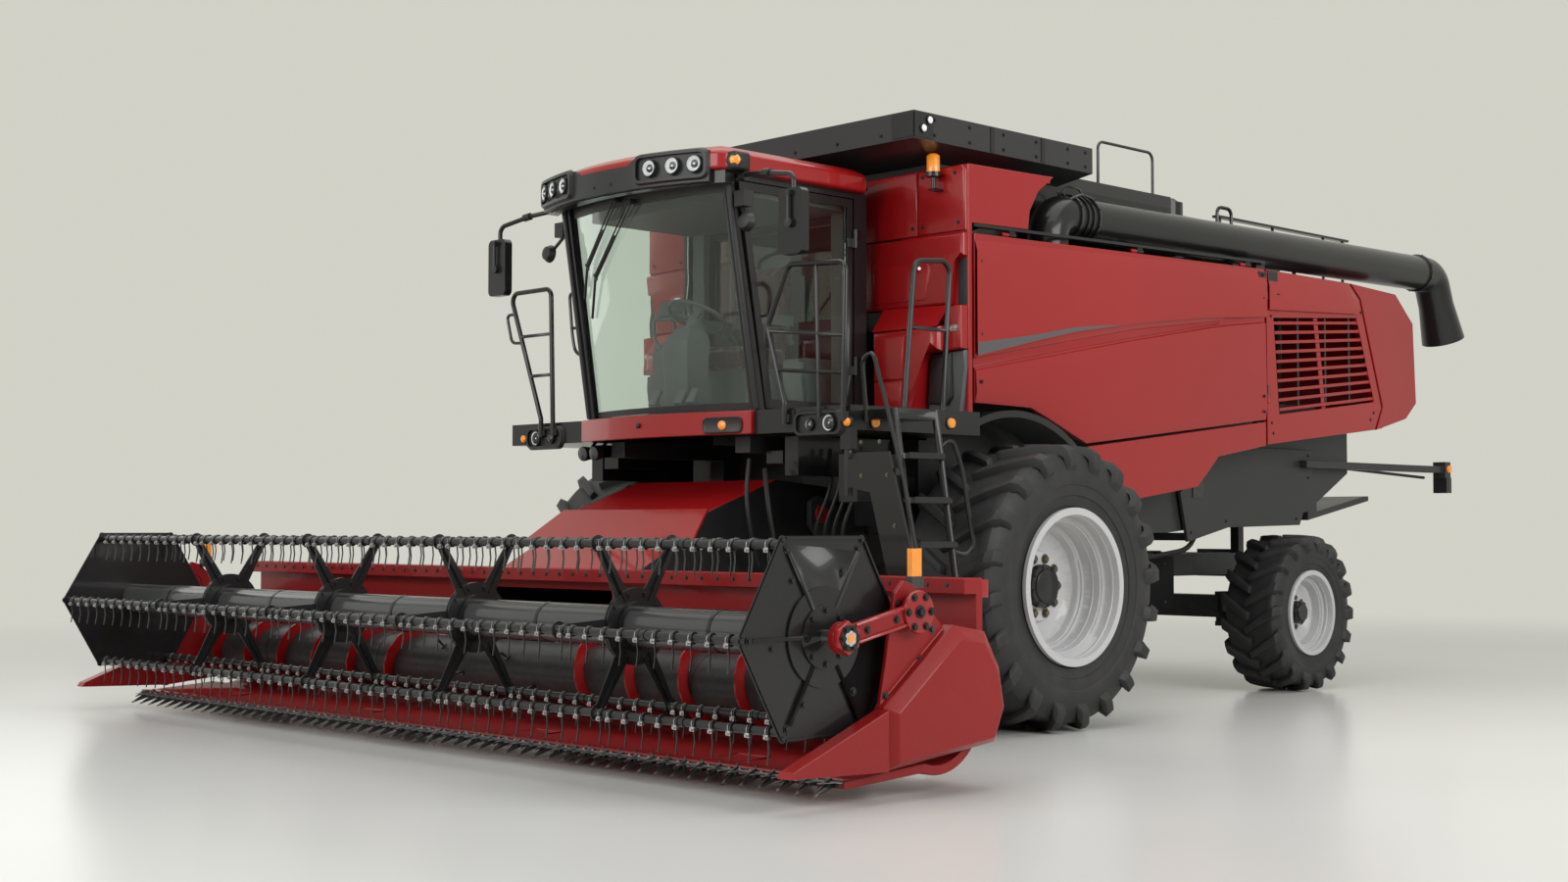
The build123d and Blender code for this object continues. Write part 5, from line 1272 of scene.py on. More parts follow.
def lamp_parts(shell, mirror, glass_mesh, place, radius):
    """A round work lamp: black bezel, bright dish with its bulb, and a domed glass, along +Z."""
    depth = radius * 0.55
    rings = [(radius * 1.16, -0.010), (radius * 1.16, 0.004), (radius * 1.10, 0.010), (radius, 0.010),
             (radius * 0.99, -0.004)]
    lathe(shell, rings, place, 32)
    dish = [(radius * 0.99, -0.003), (radius * 0.80, -depth * 0.45), (radius * 0.50, -depth * 0.85),
            (radius * 0.11, -depth), (radius * 0.10, -depth * 0.45), (0.0, -depth * 0.38)]
    lathe(mirror, dish, place, 32)
    dome = [(radius * 0.985, 0.0), (radius * 0.93, 0.005), (radius * 0.70, 0.011), (radius * 0.35, 0.015),
            (0.0, 0.016)]
    inner = [(r * 0.985, z - 0.0035) for r, z in dome]
    lathe(glass_mesh, dome + inner[::-1], place, 32)


LAMP_GLASS = glass("lamp_glass", (0.97, 0.98, 0.98, 1.0), 0.02, 1.30)
POD_SPANS = ((0.30, 0.825), (-0.865, -0.36))
POD_LAMPS = (0.425, 0.595, 0.745, -0.455, -0.62, -0.775)


def roof_panel():
    """The dark panel across the roof's front with a pod of three lamps at either end."""
    shell, mirror, panes = bmesh.new(), bmesh.new(), bmesh.new()
    columns = []
    for x in steps(-0.875, 0.835, 48):
        rise = max(0.0, min(1.0, (abs(x + 0.015) - 0.24) / 0.07))
        rise = rise * rise * (3 - 2 * rise)
        columns.append((x, 3.446, 3.600 + 0.042 * rise))
    curved_panel(shell, columns, roof_front, 0.006, 0.04)
    for x0, x1 in POD_SPANS:
        rim = pod_columns(x0, x1, 3.470, 3.650, 0.045)
        bed = pod_columns(x0 + 0.018, x1 - 0.018, 3.488, 3.632, 0.032)
        root = pod_columns(x0 - 0.012, x1 + 0.012, 3.458, 3.662, 0.05)
        band_of(shell, ((root, 0.002), (rim, 0.030), (bed, 0.030), (bed, 0.006)))
    for x in POD_LAMPS:
        lamp_parts(shell, mirror, panes, facing_out(x, 3.560, 0.030), 0.050)
    for x in (-0.10, 0.07):
        stamp(shell, SMALL_BOLT, [facing_out(x, 3.50, 0.006)])
    soften(shell, sharp_edges(shell, 50), 0.002, 1)
    show("roof_lamp_panel", finished(shell), DARK_PLASTIC, "chassis")
    # the dishes' brightness is a painted glow that stands for their reflection
    show("roof_lamp_dishes", mirror, DISH_WHITE_PAINTED_GLOW, "chassis")
    show("roof_lamp_glasses", finished(panes), LAMP_GLASS, "chassis")


def loop_of(columns):
    """The outline of a panel from its columns: along the top and back along the bottom."""
    return [(x, high) for x, low, high in columns] + [(x, low) for x, low, high in reversed(columns)]


def band_of(mesh, outlines, front=roof_front):
    """Joins (columns, gap) outlines on a curved front one after the other; the last one is filled."""
    rings = [[mesh.verts.new(facing_out(x, z, gap, front).translation) for x, z in loop_of(columns)]
             for columns, gap in outlines]
    count = len(rings[0])
    for one, two in zip(rings, rings[1:]):
        for k in range(count):
            mesh.faces.new((one[k], one[(k + 1) % count], two[(k + 1) % count], two[k]))
    last = rings[-1]
    for k in range(count // 2 - 1):
        mesh.faces.new((last[k], last[k + 1], last[count - 2 - k], last[count - 1 - k]))


# the lamps' dishes are pale plastic with a faint white glow: a painted reflection in place of a mirror finish
DISH_WHITE_PAINTED_GLOW = plastic("lamp_reflector", (0.82, 0.82, 0.81, 1.0), 0.20, 0.02)
for socket, value in (("Emission Color", (0.9, 0.92, 0.95, 1.0)), ("Emission Strength", 0.32)):
    DISH_WHITE_PAINTED_GLOW.node_tree.nodes["Principled BSDF"].inputs[socket].default_value = value
roof_panel()
print("roof panel with", len(POD_LAMPS), "work lamps")

# %% [markdown]
# The windscreen leans forward and is curved as well. Its front is found the same way, and the wipers,
# the dark bands along its edges and the strips on the pillars follow it.

# %% Windscreen, pillars and wipers
CAB_LOW_Z, CAB_HIGH_Z = 2.04, 3.48


def screen_front(x, z):
    """Station of the windscreen's outer face."""
    share = (z - CAB_LOW_Z) / (CAB_HIGH_Z - CAB_LOW_Z)
    return arc_front(x, 0.78, -1.45 - 0.24 * share, 0.12)


def on_screen(x, z, gap):
    return at(x, screen_front(x, z) - gap, z)


def screen_band(mesh, z0, z1, half, gap=0.003, depth=0.004):
    """A dark printed band across the glass."""
    rows = []
    for x in steps(-half, half, 20):
        rows.append([mesh.verts.new(on_screen(x, z, push)) for z, push in
                     ((z0, gap), (z1, gap), (z1, gap + depth), (z0, gap + depth))])
    for one, two in zip(rows, rows[1:]):
        for index in range(4):
            mesh.faces.new((one[index - 1], one[index], two[index], two[index - 1]))
    mesh.faces.new(rows[0][::-1])
    mesh.faces.new(rows[-1])


def wiper(mesh, pivot, elbow, tip):
    """A twin-bar wiper with its arm pivot and a long blade."""
    base = on_screen(*pivot, 0.045)
    bar(mesh, base + Vector((0, 0.045, 0)), base - Vector((0, 0.012, 0)), 0.016, 16)
    end = on_screen(*elbow, 0.030)
    along = (end - base).normalized()
    aside = along.cross(Vector((0, -1, 0))).normalized()
    for push in (-0.016, 0.016):
        bar(mesh, base + aside * push, end + aside * push, 0.0055, 8)
    bar(mesh, end + aside * 0.026, end - aside * 0.026, 0.008, 8)
    start = on_screen(elbow[0] * 0.45 + pivot[0] * 0.55, elbow[1] * 0.45 + pivot[1] * 0.55, 0.020)
    points = [start, (start + end) / 2 + Vector((0, -0.006, 0)), end, on_screen(*tip, 0.018)]
    for one, two in zip(points, points[1:]):
        bar(mesh, one, two, 0.009, 8)


def windscreen_trim():
    """Dark edge bands, wipers, and the outer strips of the front pillars."""
    mesh = bmesh.new()
    screen_band(mesh, CAB_LOW_Z + 0.004, CAB_LOW_Z + 0.045, 0.775)
    screen_band(mesh, CAB_HIGH_Z - 0.075, CAB_HIGH_Z - 0.004, 0.755)
    wiper(mesh, (-0.12, 3.45), (-0.60, 3.06), (-0.72, 2.86))
    wiper(mesh, (0.03, 3.42), (-0.50, 2.98), (-0.64, 2.72))
    for side in (-1, 1):
        for push, size in ((0.0, 0.020), (0.046, 0.013)):
            low = at(side * (0.845 - push), -1.478 + push * 0.1, CAB_LOW_Z + 0.005)
            high = at(side * (0.835 - push), -1.716 + push * 0.1, CAB_HIGH_Z - 0.01)
            bar(mesh, low, high, size, 8)
    show("windscreen_trim", finished(mesh), DARK_PLASTIC, "chassis")


windscreen_trim()

# %% Bumper, headlamps and markers
DECK_FRONT = -1.51


def straight(station):
    """A front that runs straight across the machine, for what can follow a curved one."""
    return lambda x: station


def bumper_front(x):
    return arc_front(x, 0.86, -1.545, 0.12)


def marker(shell, lenses, x, z, size, front, gap):
    """A small amber marker lamp: a black foot and a domed lens."""
    place = facing_out(x, z, gap, front)
    lathe(shell, [(size * 1.25, -0.01), (size * 1.25, 0.008), (size, 0.010)], place, 20)
    lathe(lenses, [(size, 0.008), (size * 0.96, 0.022), (size * 0.6, 0.030), (0.0, 0.032)], place, 20)


def front_lamps():
    """Headlamp boxes at both ends of the deck, the amber inset in the bumper and the marker lamps."""
    shell, mirror, panes, amber = bmesh.new(), bmesh.new(), bmesh.new(), bmesh.new()
    deck_front = straight(DECK_FRONT)
    for side in (-1, 1):
        middle = 1.44 if side > 0 else -1.30
        x0, x1 = middle - 0.20, middle + 0.20
        root = pod_columns(x0 - 0.015, x1 + 0.015, 1.842, 2.010, 0.05)
        rim = pod_columns(x0, x1, 1.855, 1.998, 0.045)
        bed = pod_columns(x0 + 0.016, x1 - 0.016, 1.868, 1.985, 0.04)
        band_of(shell, ((root, 0.001), (rim, 0.026), (bed, 0.026), (bed, 0.004)), deck_front)
        lamp_parts(shell, mirror, panes, facing_out(middle + side * 0.095, 1.925, 0.020, deck_front), 0.050)
        lamp_parts(shell, mirror, panes, facing_out(middle - side * 0.075, 1.922, 0.014, deck_front), 0.034)
        marker(shell, amber, middle + side * 0.245, 1.925, 0.026, deck_front, 0.0)
    rim = pod_columns(0.50, 0.80, 1.895, 1.985, 0.03)
    root = [(x, low - 0.008, high + 0.008) for x, low, high in rim]
    bed = [(x, low + 0.010, high - 0.010) for x, low, high in rim]
    band_of(shell, ((root, 0.001), (rim, 0.006), (bed, 0.002)), bumper_front)
    lathe(amber, [(0.030, 0.001), (0.029, 0.010), (0.018, 0.016), (0.0, 0.018)],
          facing_out(0.655, 1.940, 0.002, bumper_front), 24)
    lathe(shell, [(0.018, 0.001), (0.018, 0.008), (0.010, 0.012), (0.0, 0.012)],
          facing_out(-0.10, 1.962, 0.002, bumper_front), 16)
    for y, z in ((-1.30, 1.93), (-0.60, 1.95)):
        place = sideways(1, 1.70, y, z)
        lathe(shell, [(0.040, -0.004), (0.040, 0.008), (0.034, 0.010)], place, 20)
        lathe(amber, [(0.034, 0.008), (0.030, 0.020), (0.0, 0.024)], place, 20)
    show("front_lamp_boxes", finished(shell), DARK_PLASTIC, "chassis")
    # the dishes' brightness is a painted glow that stands for their reflection
    show("front_lamp_dishes", mirror, DISH_WHITE_PAINTED_GLOW, "chassis")
    show("front_lamp_glasses", finished(panes), LAMP_GLASS, "chassis")
    show("front_markers", finished(amber), AMBER, "chassis")


front_lamps()

# %% Mirror details and the corner lamp
def mirror_details():
    """Clamps on the mirror arms, mirror faces behind, small round mirrors and the corner lamp."""
    mesh, amber, faces = bmesh.new(), bmesh.new(), bmesh.new()
    for side in (-1, 1):
        for x, y, z in ((1.22, -1.743, 3.467), (0.95, -1.69, 3.487)):
            bar(mesh, at(side * (x - 0.03), y + 0.004, z + 0.004),
                at(side * (x + 0.03), y - 0.004, z - 0.004), 0.026, 12)
        bar(mesh, at(side * 1.49, -1.785, 3.12), at(side * 1.49, -1.835, 3.12), 0.030, 16)
        bar(mesh, at(side * 1.49, -1.828, 3.12), at(side * 1.49, -1.828, 3.30), 0.011, 10)
        block(mesh, side * 1.475, side * 1.505, -1.84, -1.77, 3.285, 3.315)
        block(faces, side * 1.41, side * 1.57, -1.752, -1.746, 2.96, 3.30)
        block(mesh, side * 0.875, side * 0.965, -1.70, -1.62, 3.30, 3.40)
        bar(mesh, at(side * 0.90, -1.66, 3.31), at(side * 1.0, -1.70, 3.20), 0.012, 8)
        place = turn_to(at(side * 1.005, -1.71, 3.19), at(side * 1.00, -1.60, 3.18))
        lathe(mesh, [(0.0, -0.045), (0.045, -0.035), (0.062, 0.0), (0.062, 0.010), (0.055, 0.012)], place, 24)
        lathe(faces, [(0.055, 0.011), (0.04, 0.016), (0.0, 0.020)], place, 24)
    lamp_box = block(mesh, 0.885, 0.985, -1.80, -1.655, 3.515, 3.635)
    soften(mesh, edges_of(lamp_box), 0.022, 3)
    place = turn_to(at(0.965, -1.775, 3.575), at(1.03, -1.85, 3.573))
    lathe(amber, [(0.036, -0.004), (0.034, 0.014), (0.020, 0.024), (0.0, 0.026)], place, 24)
    lathe(mesh, [(0.046, -0.02), (0.046, 0.006), (0.036, 0.010), (0.036, 0.0)], place, 24)
    show("mirror_clamps", finished(mesh), DARK_PLASTIC, "chassis")
    show("mirror_faces", finished(faces), MIRROR_GLASS, "chassis")
    show("corner_lamp_lens", finished(amber), AMBER, "chassis")


mirror_details()

# %% [markdown]
# Through the big windscreen one sees the operator's place, so it gets a steering column cover, a
# console with levers, armrests, a screen on a stalk, pedals and a grab handle.

# %% Operator's place
COLUMN = ((-1.315, 2.05, 0.075, 0.075), (-1.33, 2.12, 0.115, 0.085), (-1.335, 2.42, 0.125, 0.095),
          (-1.335, 2.45, 0.130, 0.10), (-1.325, 2.53, 0.125, 0.10), (-1.29, 2.63, 0.065, 0.06))


def column_cover(mesh):
    """A tapered cover round the steering column with a wider head: station, height, half width and depth."""
    rings = []
    for y, z, half, deep in COLUMN:
        corners = [(-half, -deep), (-half * 0.6, -deep - 0.02), (half * 0.6, -deep - 0.02), (half, -deep),
                   (half, deep), (-half, deep)]
        rings.append([mesh.verts.new(at(x, y + dy, z)) for x, dy in corners])
    for one, two in zip(rings, rings[1:]):
        for k in range(6):
            mesh.faces.new((one[k], one[(k + 1) % 6], two[(k + 1) % 6], two[k]))
    mesh.faces.new(rings[0][::-1])
    mesh.faces.new(rings[-1])


def operator_place():
    """Everything within reach of the operator that the CAD cab leaves out."""
    mesh = bmesh.new()
    column_cover(mesh)
    soften(mesh, sharp_edges(mesh, 25), 0.006, 2)
    # the console with its switches
    block(mesh, -0.55, -0.33, -1.14, -0.63, 2.525, 2.56)
    for x in (-0.50, -0.40):
        for y in (-1.05, -0.95, -0.85):
            bar(mesh, at(x, y, 2.555), at(x, y - 0.01, 2.60), 0.010, 10)
    # armrests and levers
    block(mesh, -0.34, -0.27, -1.05, -0.66, 2.66, 2.73)
    block(mesh, 0.27, 0.34, -1.05, -0.66, 2.66, 2.73)
    for x in (-0.305, 0.305):
        bar(mesh, at(x, -0.70, 2.68), at(x * 0.85, -0.60, 2.55), 0.022, 10)
    bar(mesh, at(-0.305, -1.00, 2.72), at(-0.295, -1.06, 2.86), 0.018, 12, 0.026)
    bar(mesh, at(-0.44, -1.02, 2.56), at(-0.44, -1.06, 2.74), 0.012, 10)
    # the screen, the pedals and the handle on the column
    screen = Matrix.Rotation(math.radians(20), 4, "Z") @ Matrix.Rotation(math.radians(-20), 4, "X")
    made = block(mesh, -0.55, -0.33, -1.08, -1.055, 2.72, 2.87, screen)
    soften(mesh, edges_of(made), 0.010, 2)
    for x in (-0.16, 0.10, 0.22):
        block(mesh, x - 0.035, x + 0.035, -1.47, -1.45, 2.10, 2.21,
              Matrix.Rotation(math.radians(-30), 4, "X"))
        bar(mesh, at(x, -1.445, 2.15), at(x, -1.40, 2.05), 0.008, 8)
    hose(mesh, [(-0.10, -1.30, 2.50), (-0.30, -1.34, 2.52), (-0.33, -1.34, 2.72), (-0.12, -1.27, 2.74)],
         0.013, 0.06)
    # the mat, the roof lining, the rear posts and a box beside the chair
    block(mesh, -0.79, 0.79, -1.43, -0.56, 2.041, 2.052)
    block(mesh, -0.79, 0.79, -1.50, -0.56, 3.40, 3.47)
    for x in (-0.70, 0.70):
        block(mesh, x - 0.06, x + 0.06, -0.60, -0.545, 2.06, 3.40)
    block(mesh, 0.38, 0.60, -0.80, -0.56, 2.06, 2.42)
    show("operator_place", finished(mesh), GREY_PLASTIC, "chassis")


operator_place()

# %% [markdown]
# ## The body
# Pressed side panels get their stiffness from folds. Each door carries thin skins that stand a little
# proud of it, so the fold lines catch the light; they ride with the door and lift with it.

# %% Folded door skins
SIDE_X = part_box("side_door_left")[1].x
DOOR_FRONT, DOOR_REAR = -0.238, 3.212
GRILLE_FRONT, GRILLE_LONG = 3.248, 1.352
FOLD_OUT = 0.024     # how proud of its door a fold stands
TUCKED = -0.002      # the edges of a skin end inside the door
UPPER_EDGE = ((DOOR_FRONT, 2.400), (0.40, 2.545), (0.82, 2.632), (1.42, 2.728), (2.30, 2.840),
              (DOOR_REAR, 2.915))
UPPER_FOLD = ((DOOR_FRONT, 3.095), (DOOR_REAR, 3.165))
LOWER_FOLD = ((DOOR_FRONT, 2.175), (0.36, 2.165), (0.98, 1.960), (1.415, 2.010), (DOOR_REAR, 2.222))
LOWER_EDGE = ((DOOR_FRONT, 2.102), (0.352, 2.092), (0.952, 1.872), (1.41, 1.922), (DOOR_REAR, 2.122))
GROOVE_LOW = ((DOOR_FRONT, 2.318), (1.50, 2.628), (2.60, 2.808), (DOOR_REAR, 2.880))
FLASH_TOP = ((-0.236, 2.492), (0.30, 2.572), (0.82, 2.668), (1.30, 2.716))
FLASH_LOW = ((-0.236, 2.408), (0.40, 2.552), (0.82, 2.640), (1.30, 2.712))


def door_skin(mesh, side, *edges):
    """A skin on a door, open behind; each edge is ((y, z) points, how proud of the door it stands)."""
    rows = [[mesh.verts.new(at(side * (SIDE_X + proud), y, z)) for y, z in points] for points, proud in edges]
    for one, two in zip(rows, rows[1:]):
        for k in range(len(one) - 1):
            mesh.faces.new((one[k], one[k + 1], two[k + 1], two[k]))


def top_fold(mesh, side, crease, fold, top):
    """The band that stands out along the upper edge of a door."""
    tucked = [(y, z + 0.030) for y, z in crease]
    door_skin(mesh, side, (tucked, TUCKED), (crease, FOLD_OUT), (fold, FOLD_OUT), (top, 0.003), (top, TUCKED))


def along(line, places):
    """The (y, z) points of a broken line at given stations."""
    points = []
    for y in places:
        for one, two in zip(line, line[1:]):
            if one[0] - 1e-6 <= y <= two[0] + 1e-6:
                points.append((y, one[1] + (two[1] - one[1]) * (y - one[0]) / (two[0] - one[0])))
                break
    return points


def door_skins(side, word):
    """The folded skins, the grey flash, latches and bolts of one service door."""
    mesh = bmesh.new()
    places = steps(DOOR_FRONT, DOOR_REAR, 24)
    top = [(y, z + 0.110 - 0.012 * (DOOR_REAR - y)) for y, z in along(UPPER_FOLD, places)]
    top_fold(mesh, side, along(UPPER_EDGE, places), along(UPPER_FOLD, places), top)
    groove, lower, edge = along(GROOVE_LOW, places), along(LOWER_FOLD, places), along(LOWER_EDGE, places)
    raised = [(y, z - 0.010) for y, z in groove]
    door_skin(mesh, side, (groove, TUCKED), (raised, 0.008), (lower, 0.016), (edge, 0.001), (edge, TUCKED))
    show("door_folds_" + word, face_towards(mesh, (side, 0, 0)), RED, "service_door_" + word)
    flash = bmesh.new()
    upper, low_line = [along(line, steps(-0.236, 1.30, 12)) for line in (FLASH_TOP, FLASH_LOW)]
    door_skin(flash, side, (upper, 0.0241), (upper, 0.0255), (low_line, 0.0255), (low_line, 0.0241))
    show("door_flash_" + word, face_towards(flash, (side, 0, 0)), FLASH_GREY, "service_door_" + word)
    trim = bmesh.new()
    spots = [(3.17, 3.24), (3.17, 3.06), (3.17, 2.30), (-0.19, 3.03), (-0.19, 2.55), (-0.19, 2.24),
             (3.17, 2.18)]
    stamp(trim, SMALL_BOLT, [sideways(side, SIDE_X + 0.020, y, z) for y, z in spots])
    block(trim, side * (SIDE_X - 0.01), side * (SIDE_X + 0.014), 3.12, 3.205, 3.205, 3.262)
    show("door_bolts_" + word, finished(trim), DARK_PLASTIC, "service_door_" + word)


def face_towards(mesh, direction):
    """Turns the faces of an open skin to the side that can be seen."""
    finished(mesh)
    if sum(face.normal.dot(direction) * face.calc_area() for face in mesh.faces) < 0:
        bmesh.ops.reverse_faces(mesh, faces=mesh.faces)
    return mesh


def grille_skins(side, word):
    """Fold, latch plate, bolts and the black mesh behind the louvres of one rear door."""
    mesh = bmesh.new()
    places = steps(GRILLE_FRONT, GRILLE_FRONT + GRILLE_LONG, 10)
    crease = [(y, 2.975 + 0.066 * (y - GRILLE_FRONT) / GRILLE_LONG) for y in places]
    fold = [(y, 3.150 + 0.012 * (y - GRILLE_FRONT) / GRILLE_LONG) for y in places]
    top = [(y, 3.285 - max(0.0, (y - 4.46) * 0.8)) for y in places]
    top_fold(mesh, side, crease, fold, top)
    show("grille_fold_" + word, face_towards(mesh, (side, 0, 0)), RED, "rear_door_" + word)
    trim = bmesh.new()
    block(trim, side * (SIDE_X - 0.005), side * (SIDE_X + 0.016), 3.25, 3.38, 3.195, 3.283)
    block(trim, side * (SIDE_X + 0.009), side * (SIDE_X + 0.017), 3.30, 3.40, 3.04, 3.13)
    bar(trim, at(side * (SIDE_X + 0.014), 3.315, 3.105), at(side * (SIDE_X + 0.026), 3.39, 3.105), 0.006, 8)
    soften(trim, sharp_edges(trim, 60), 0.004, 1)
    spots = [(3.30, 2.93), (3.30, 2.10), (4.80, 2.18), (3.32, 2.02), (4.85, 2.24), (4.66, 3.06)]
    stamp(trim, SMALL_BOLT, [sideways(side, SIDE_X, y, z) for y, z in spots])
    for y in (3.72, 4.13, 4.50):
        block(trim, side * (SIDE_X - 0.032), side * (SIDE_X - 0.020), y - 0.012,
              y + 0.012, 2.20 + (y - 3.4) * 0.11, 2.93 + (y - 3.4) * 0.07)
    show("grille_trim_" + word, finished(trim), DARK_PLASTIC, "rear_door_" + word)


FLASH_GREY = paint("flash_grey", (0.115, 0.113, 0.118, 1.0), (0.095, 0.094, 0.098, 1.0), 0.42, 0.3, 0.05)
for side, word in ((1, "left"), (-1, "right")):
    door_skins(side, word)
    grille_skins(side, word)

# %% Front wall
FORWARD = (0, -1, 0)
wall_front = straight(-0.320)


# red, black and grey sheets: where the back and the front are, the rounding, and the (x, z) outline
RED_SHEETS = (
    (-0.30, -0.318, 0.012, ((0.64, 3.225), (0.64, 3.655), (1.170, 3.655), (1.170, 3.225))),
    (-0.30, -0.318, 0.012, ((1.177, 3.225), (1.177, 3.655), (1.555, 3.655), (1.592, 3.62), (1.592, 3.225))),
    (-0.30, -0.345, 0.020, ((0.64, 2.745), (0.64, 3.215), (1.592, 3.205), (1.592, 3.060), (1.500, 3.045),
                            (1.478, 2.745))),
    (-0.34, -0.352, 0.008, ((0.80, 2.79), (0.80, 3.05), (1.29, 3.03), (1.31, 2.99), (1.27, 2.79))),
    (-0.30, -0.372, 0.014, ((1.478, 2.440), (1.478, 2.735), (1.592, 2.728), (1.592, 2.450))),
    (-0.30, -0.47, 0.055, ((0.885, 2.035), (0.885, 2.60), (1.47, 2.60), (1.47, 2.44), (1.30, 2.43),
                           (1.265, 2.035))),
    (-0.46, -0.486, 0.010, ((0.93, 2.262), (0.93, 2.55), (1.20, 2.545), (1.18, 2.262))),
    (-0.46, -0.486, 0.010, ((0.93, 2.075), (0.93, 2.252), (1.178, 2.252), (1.165, 2.075))))
DARK_SHEETS = (
    (-0.30, -0.305, 0.002, ((1.512, 2.742), (1.520, 3.035), (1.590, 3.048), (1.590, 2.742))),
    (-0.33, -0.362, 0.018, ((1.290, 2.10), (1.315, 2.405), (1.490, 2.425), (1.500, 2.14), (1.46, 2.085))))
GREY_SHEETS = (
    (-0.30, -0.335, 0.012, ((1.275, 2.035), (1.305, 2.425), (1.592, 2.440), (1.592, 2.33), (1.560, 2.035))),)


def sheets(side, rows):
    """A bmesh with the sheets of one side of the wall, open behind and rounded in front."""
    mesh = bmesh.new()
    for y_back, y_front, width, outline in rows:
        back = [mesh.verts.new(at(side * x, y_back, z)) for x, z in outline]
        front = [mesh.verts.new(at(side * x, y_front, z)) for x, z in outline]
        for k in range(len(outline)):
            mesh.faces.new((back[k - 1], back[k], front[k], front[k - 1]))
        soften(mesh, list(mesh.faces.new(front).edges), width, 3)
    return mesh


def front_wall(side, word):
    """The panels between the cab and the side door: two tiers, a rounded box below and the dark slot."""
    mesh = sheets(side, RED_SHEETS)
    ledge = [mesh.verts.new(at(side * x, y, z)) for x, y, z in (
        (0.885, -0.455, 2.595), (1.465, -0.455, 2.595), (1.47, -0.34, 2.742), (0.885, -0.34, 2.752))]
    mesh.faces.new(ledge if side < 0 else ledge[::-1])
    show("front_wall_" + word, face_towards(mesh, FORWARD), RED, "chassis")
    dark = sheets(side, DARK_SHEETS)
    bar(dark, at(side * 1.37, -0.09, 3.73), at(side * 1.37, -0.09, 3.74), 0.002, 6)
    spots = [(0.70, 3.28), (0.70, 3.60), (1.13, 3.28), (1.22, 3.28), (1.53, 3.28), (1.22, 3.61), (1.50, 3.61),
             (0.70, 3.15), (1.54, 3.13)]
    stamp(dark, SMALL_BOLT, [facing_out(side * x, z, 0.0, wall_front) for x, z in spots])
    show("front_wall_trim_" + word, face_towards(dark, FORWARD), DARK_PLASTIC, "chassis")
    pale = sheets(side, GREY_SHEETS)
    show("front_wall_grey_" + word, face_towards(pale, FORWARD), FLASH_GREY, "chassis")
    bright = bmesh.new()
    stamp(bright, BOLT, [facing_out(side * x, 2.585, 0.052, wall_front) for x in (1.52, 1.55)])
    bar(bright, at(side * 1.19, -0.352, 3.00), at(side * 1.23, -0.365, 3.00), 0.012, 10)
    show("front_wall_bolts_" + word, finished(bright), BRIGHT_STEEL, "chassis")


for side, word in ((1, "left"), (-1, "right")):
    front_wall(side, word)

# %% Tank, tube and tail details
TUBE_X, TUBE_R = 1.395, 0.150


def around_tube(mesh, y, width, bolts=8):
    """A clamp ring with bolts round the unloading tube, which rises a little towards its spout."""
    middle = at(TUBE_X, y, 3.465 + 0.065 * (y - 0.78) / 5.45)
    half, outer = width / 2, TUBE_R + 0.014
    lathe(mesh, [(TUBE_R, -half), (outer, -half), (outer, half), (TUBE_R, half)],
          Matrix.Translation(middle) @ looking((0, 1, 0)), 48)
    for k in range(bolts):
        turn = 2 * math.pi * (k + 0.5) / bolts
        out = Vector((math.cos(turn), 0, math.sin(turn)))
        spot = middle + out * (TUBE_R + 0.012)
        stamp(mesh, SMALL_BOLT, [turn_to(spot, spot + out)])


def tube_details():
    """Clamp rings, and the stays and bolts over the elbow."""
    mesh = bmesh.new()
    for y in (0.985, 1.19, 5.98):
        around_tube(mesh, y, 0.024)
    for y in (1.06, 1.12):
        around_tube(mesh, y, 0.010, 0)
    for turn in (-20, 20, 60):
        spot = at(TUBE_X, 0.93, 3.60)
        out = Vector((math.sin(math.radians(turn)), 0, math.cos(math.radians(turn))))
        bar(mesh, spot + out * 0.02, spot + out * 0.045, 0.012, 8)
    hose(mesh, [(1.40, 0.93, 3.62), (1.40, 1.00, 3.69), (1.40, 1.14, 3.69), (1.40, 1.19, 3.64)], 0.009, 0.03)
    hose(mesh, [(1.47, 0.93, 3.58), (1.53, 1.00, 3.62), (1.53, 1.14, 3.60), (1.50, 1.19, 3.57)], 0.009, 0.03)
    show("tube_clamps", finished(mesh), DARK_STEEL, "unloader")


def collar_details():
    """Corner plates, seams, bolts and two small lamps on the tank's collar."""
    mesh, lens_mesh = bmesh.new(), bmesh.new()
    spots = []
    for y in (-0.50, -0.15, 0.20, 0.55, 0.90, 1.10):
        for side in (-1, 1):
            spots += [sideways(side, 1.492, y, z) for z in (3.83, 3.93)]
    for x in (-1.2, -0.8, -0.4, 0.0, 0.4, 0.8, 1.2):
        spots.append(turn_to(at(x, -0.702, 3.84), at(x, -2.0, 3.84)))
    stamp(mesh, SMALL_BOLT, spots)
    for side in (-1, 1):
        block(mesh, side * 1.484, side * 1.4965, -0.700, -0.52, 3.80, 3.96)
        block(mesh, side * 1.30, side * 1.49, -0.7075, -0.698, 3.80, 3.96)
        for y, z in ((-0.56, 3.92), (-0.62, 3.86)):
            place = sideways(side, 1.4965, y, z)
            lathe(mesh, [(0.030, 0.0), (0.030, 0.010), (0.024, 0.012)], place, 16)
            lathe(lens_mesh, [(0.024, 0.010), (0.018, 0.016), (0.0, 0.018)], place, 16)
        for y in (0.08, 0.62):
            block(mesh, side * 1.484, side * 1.4945, y - 0.02, y + 0.02, 3.795, 3.965)
    show("collar_trim", finished(mesh), BLACK, "chassis")
    show("collar_lamps", finished(lens_mesh), CLEAR_LENS, "chassis")


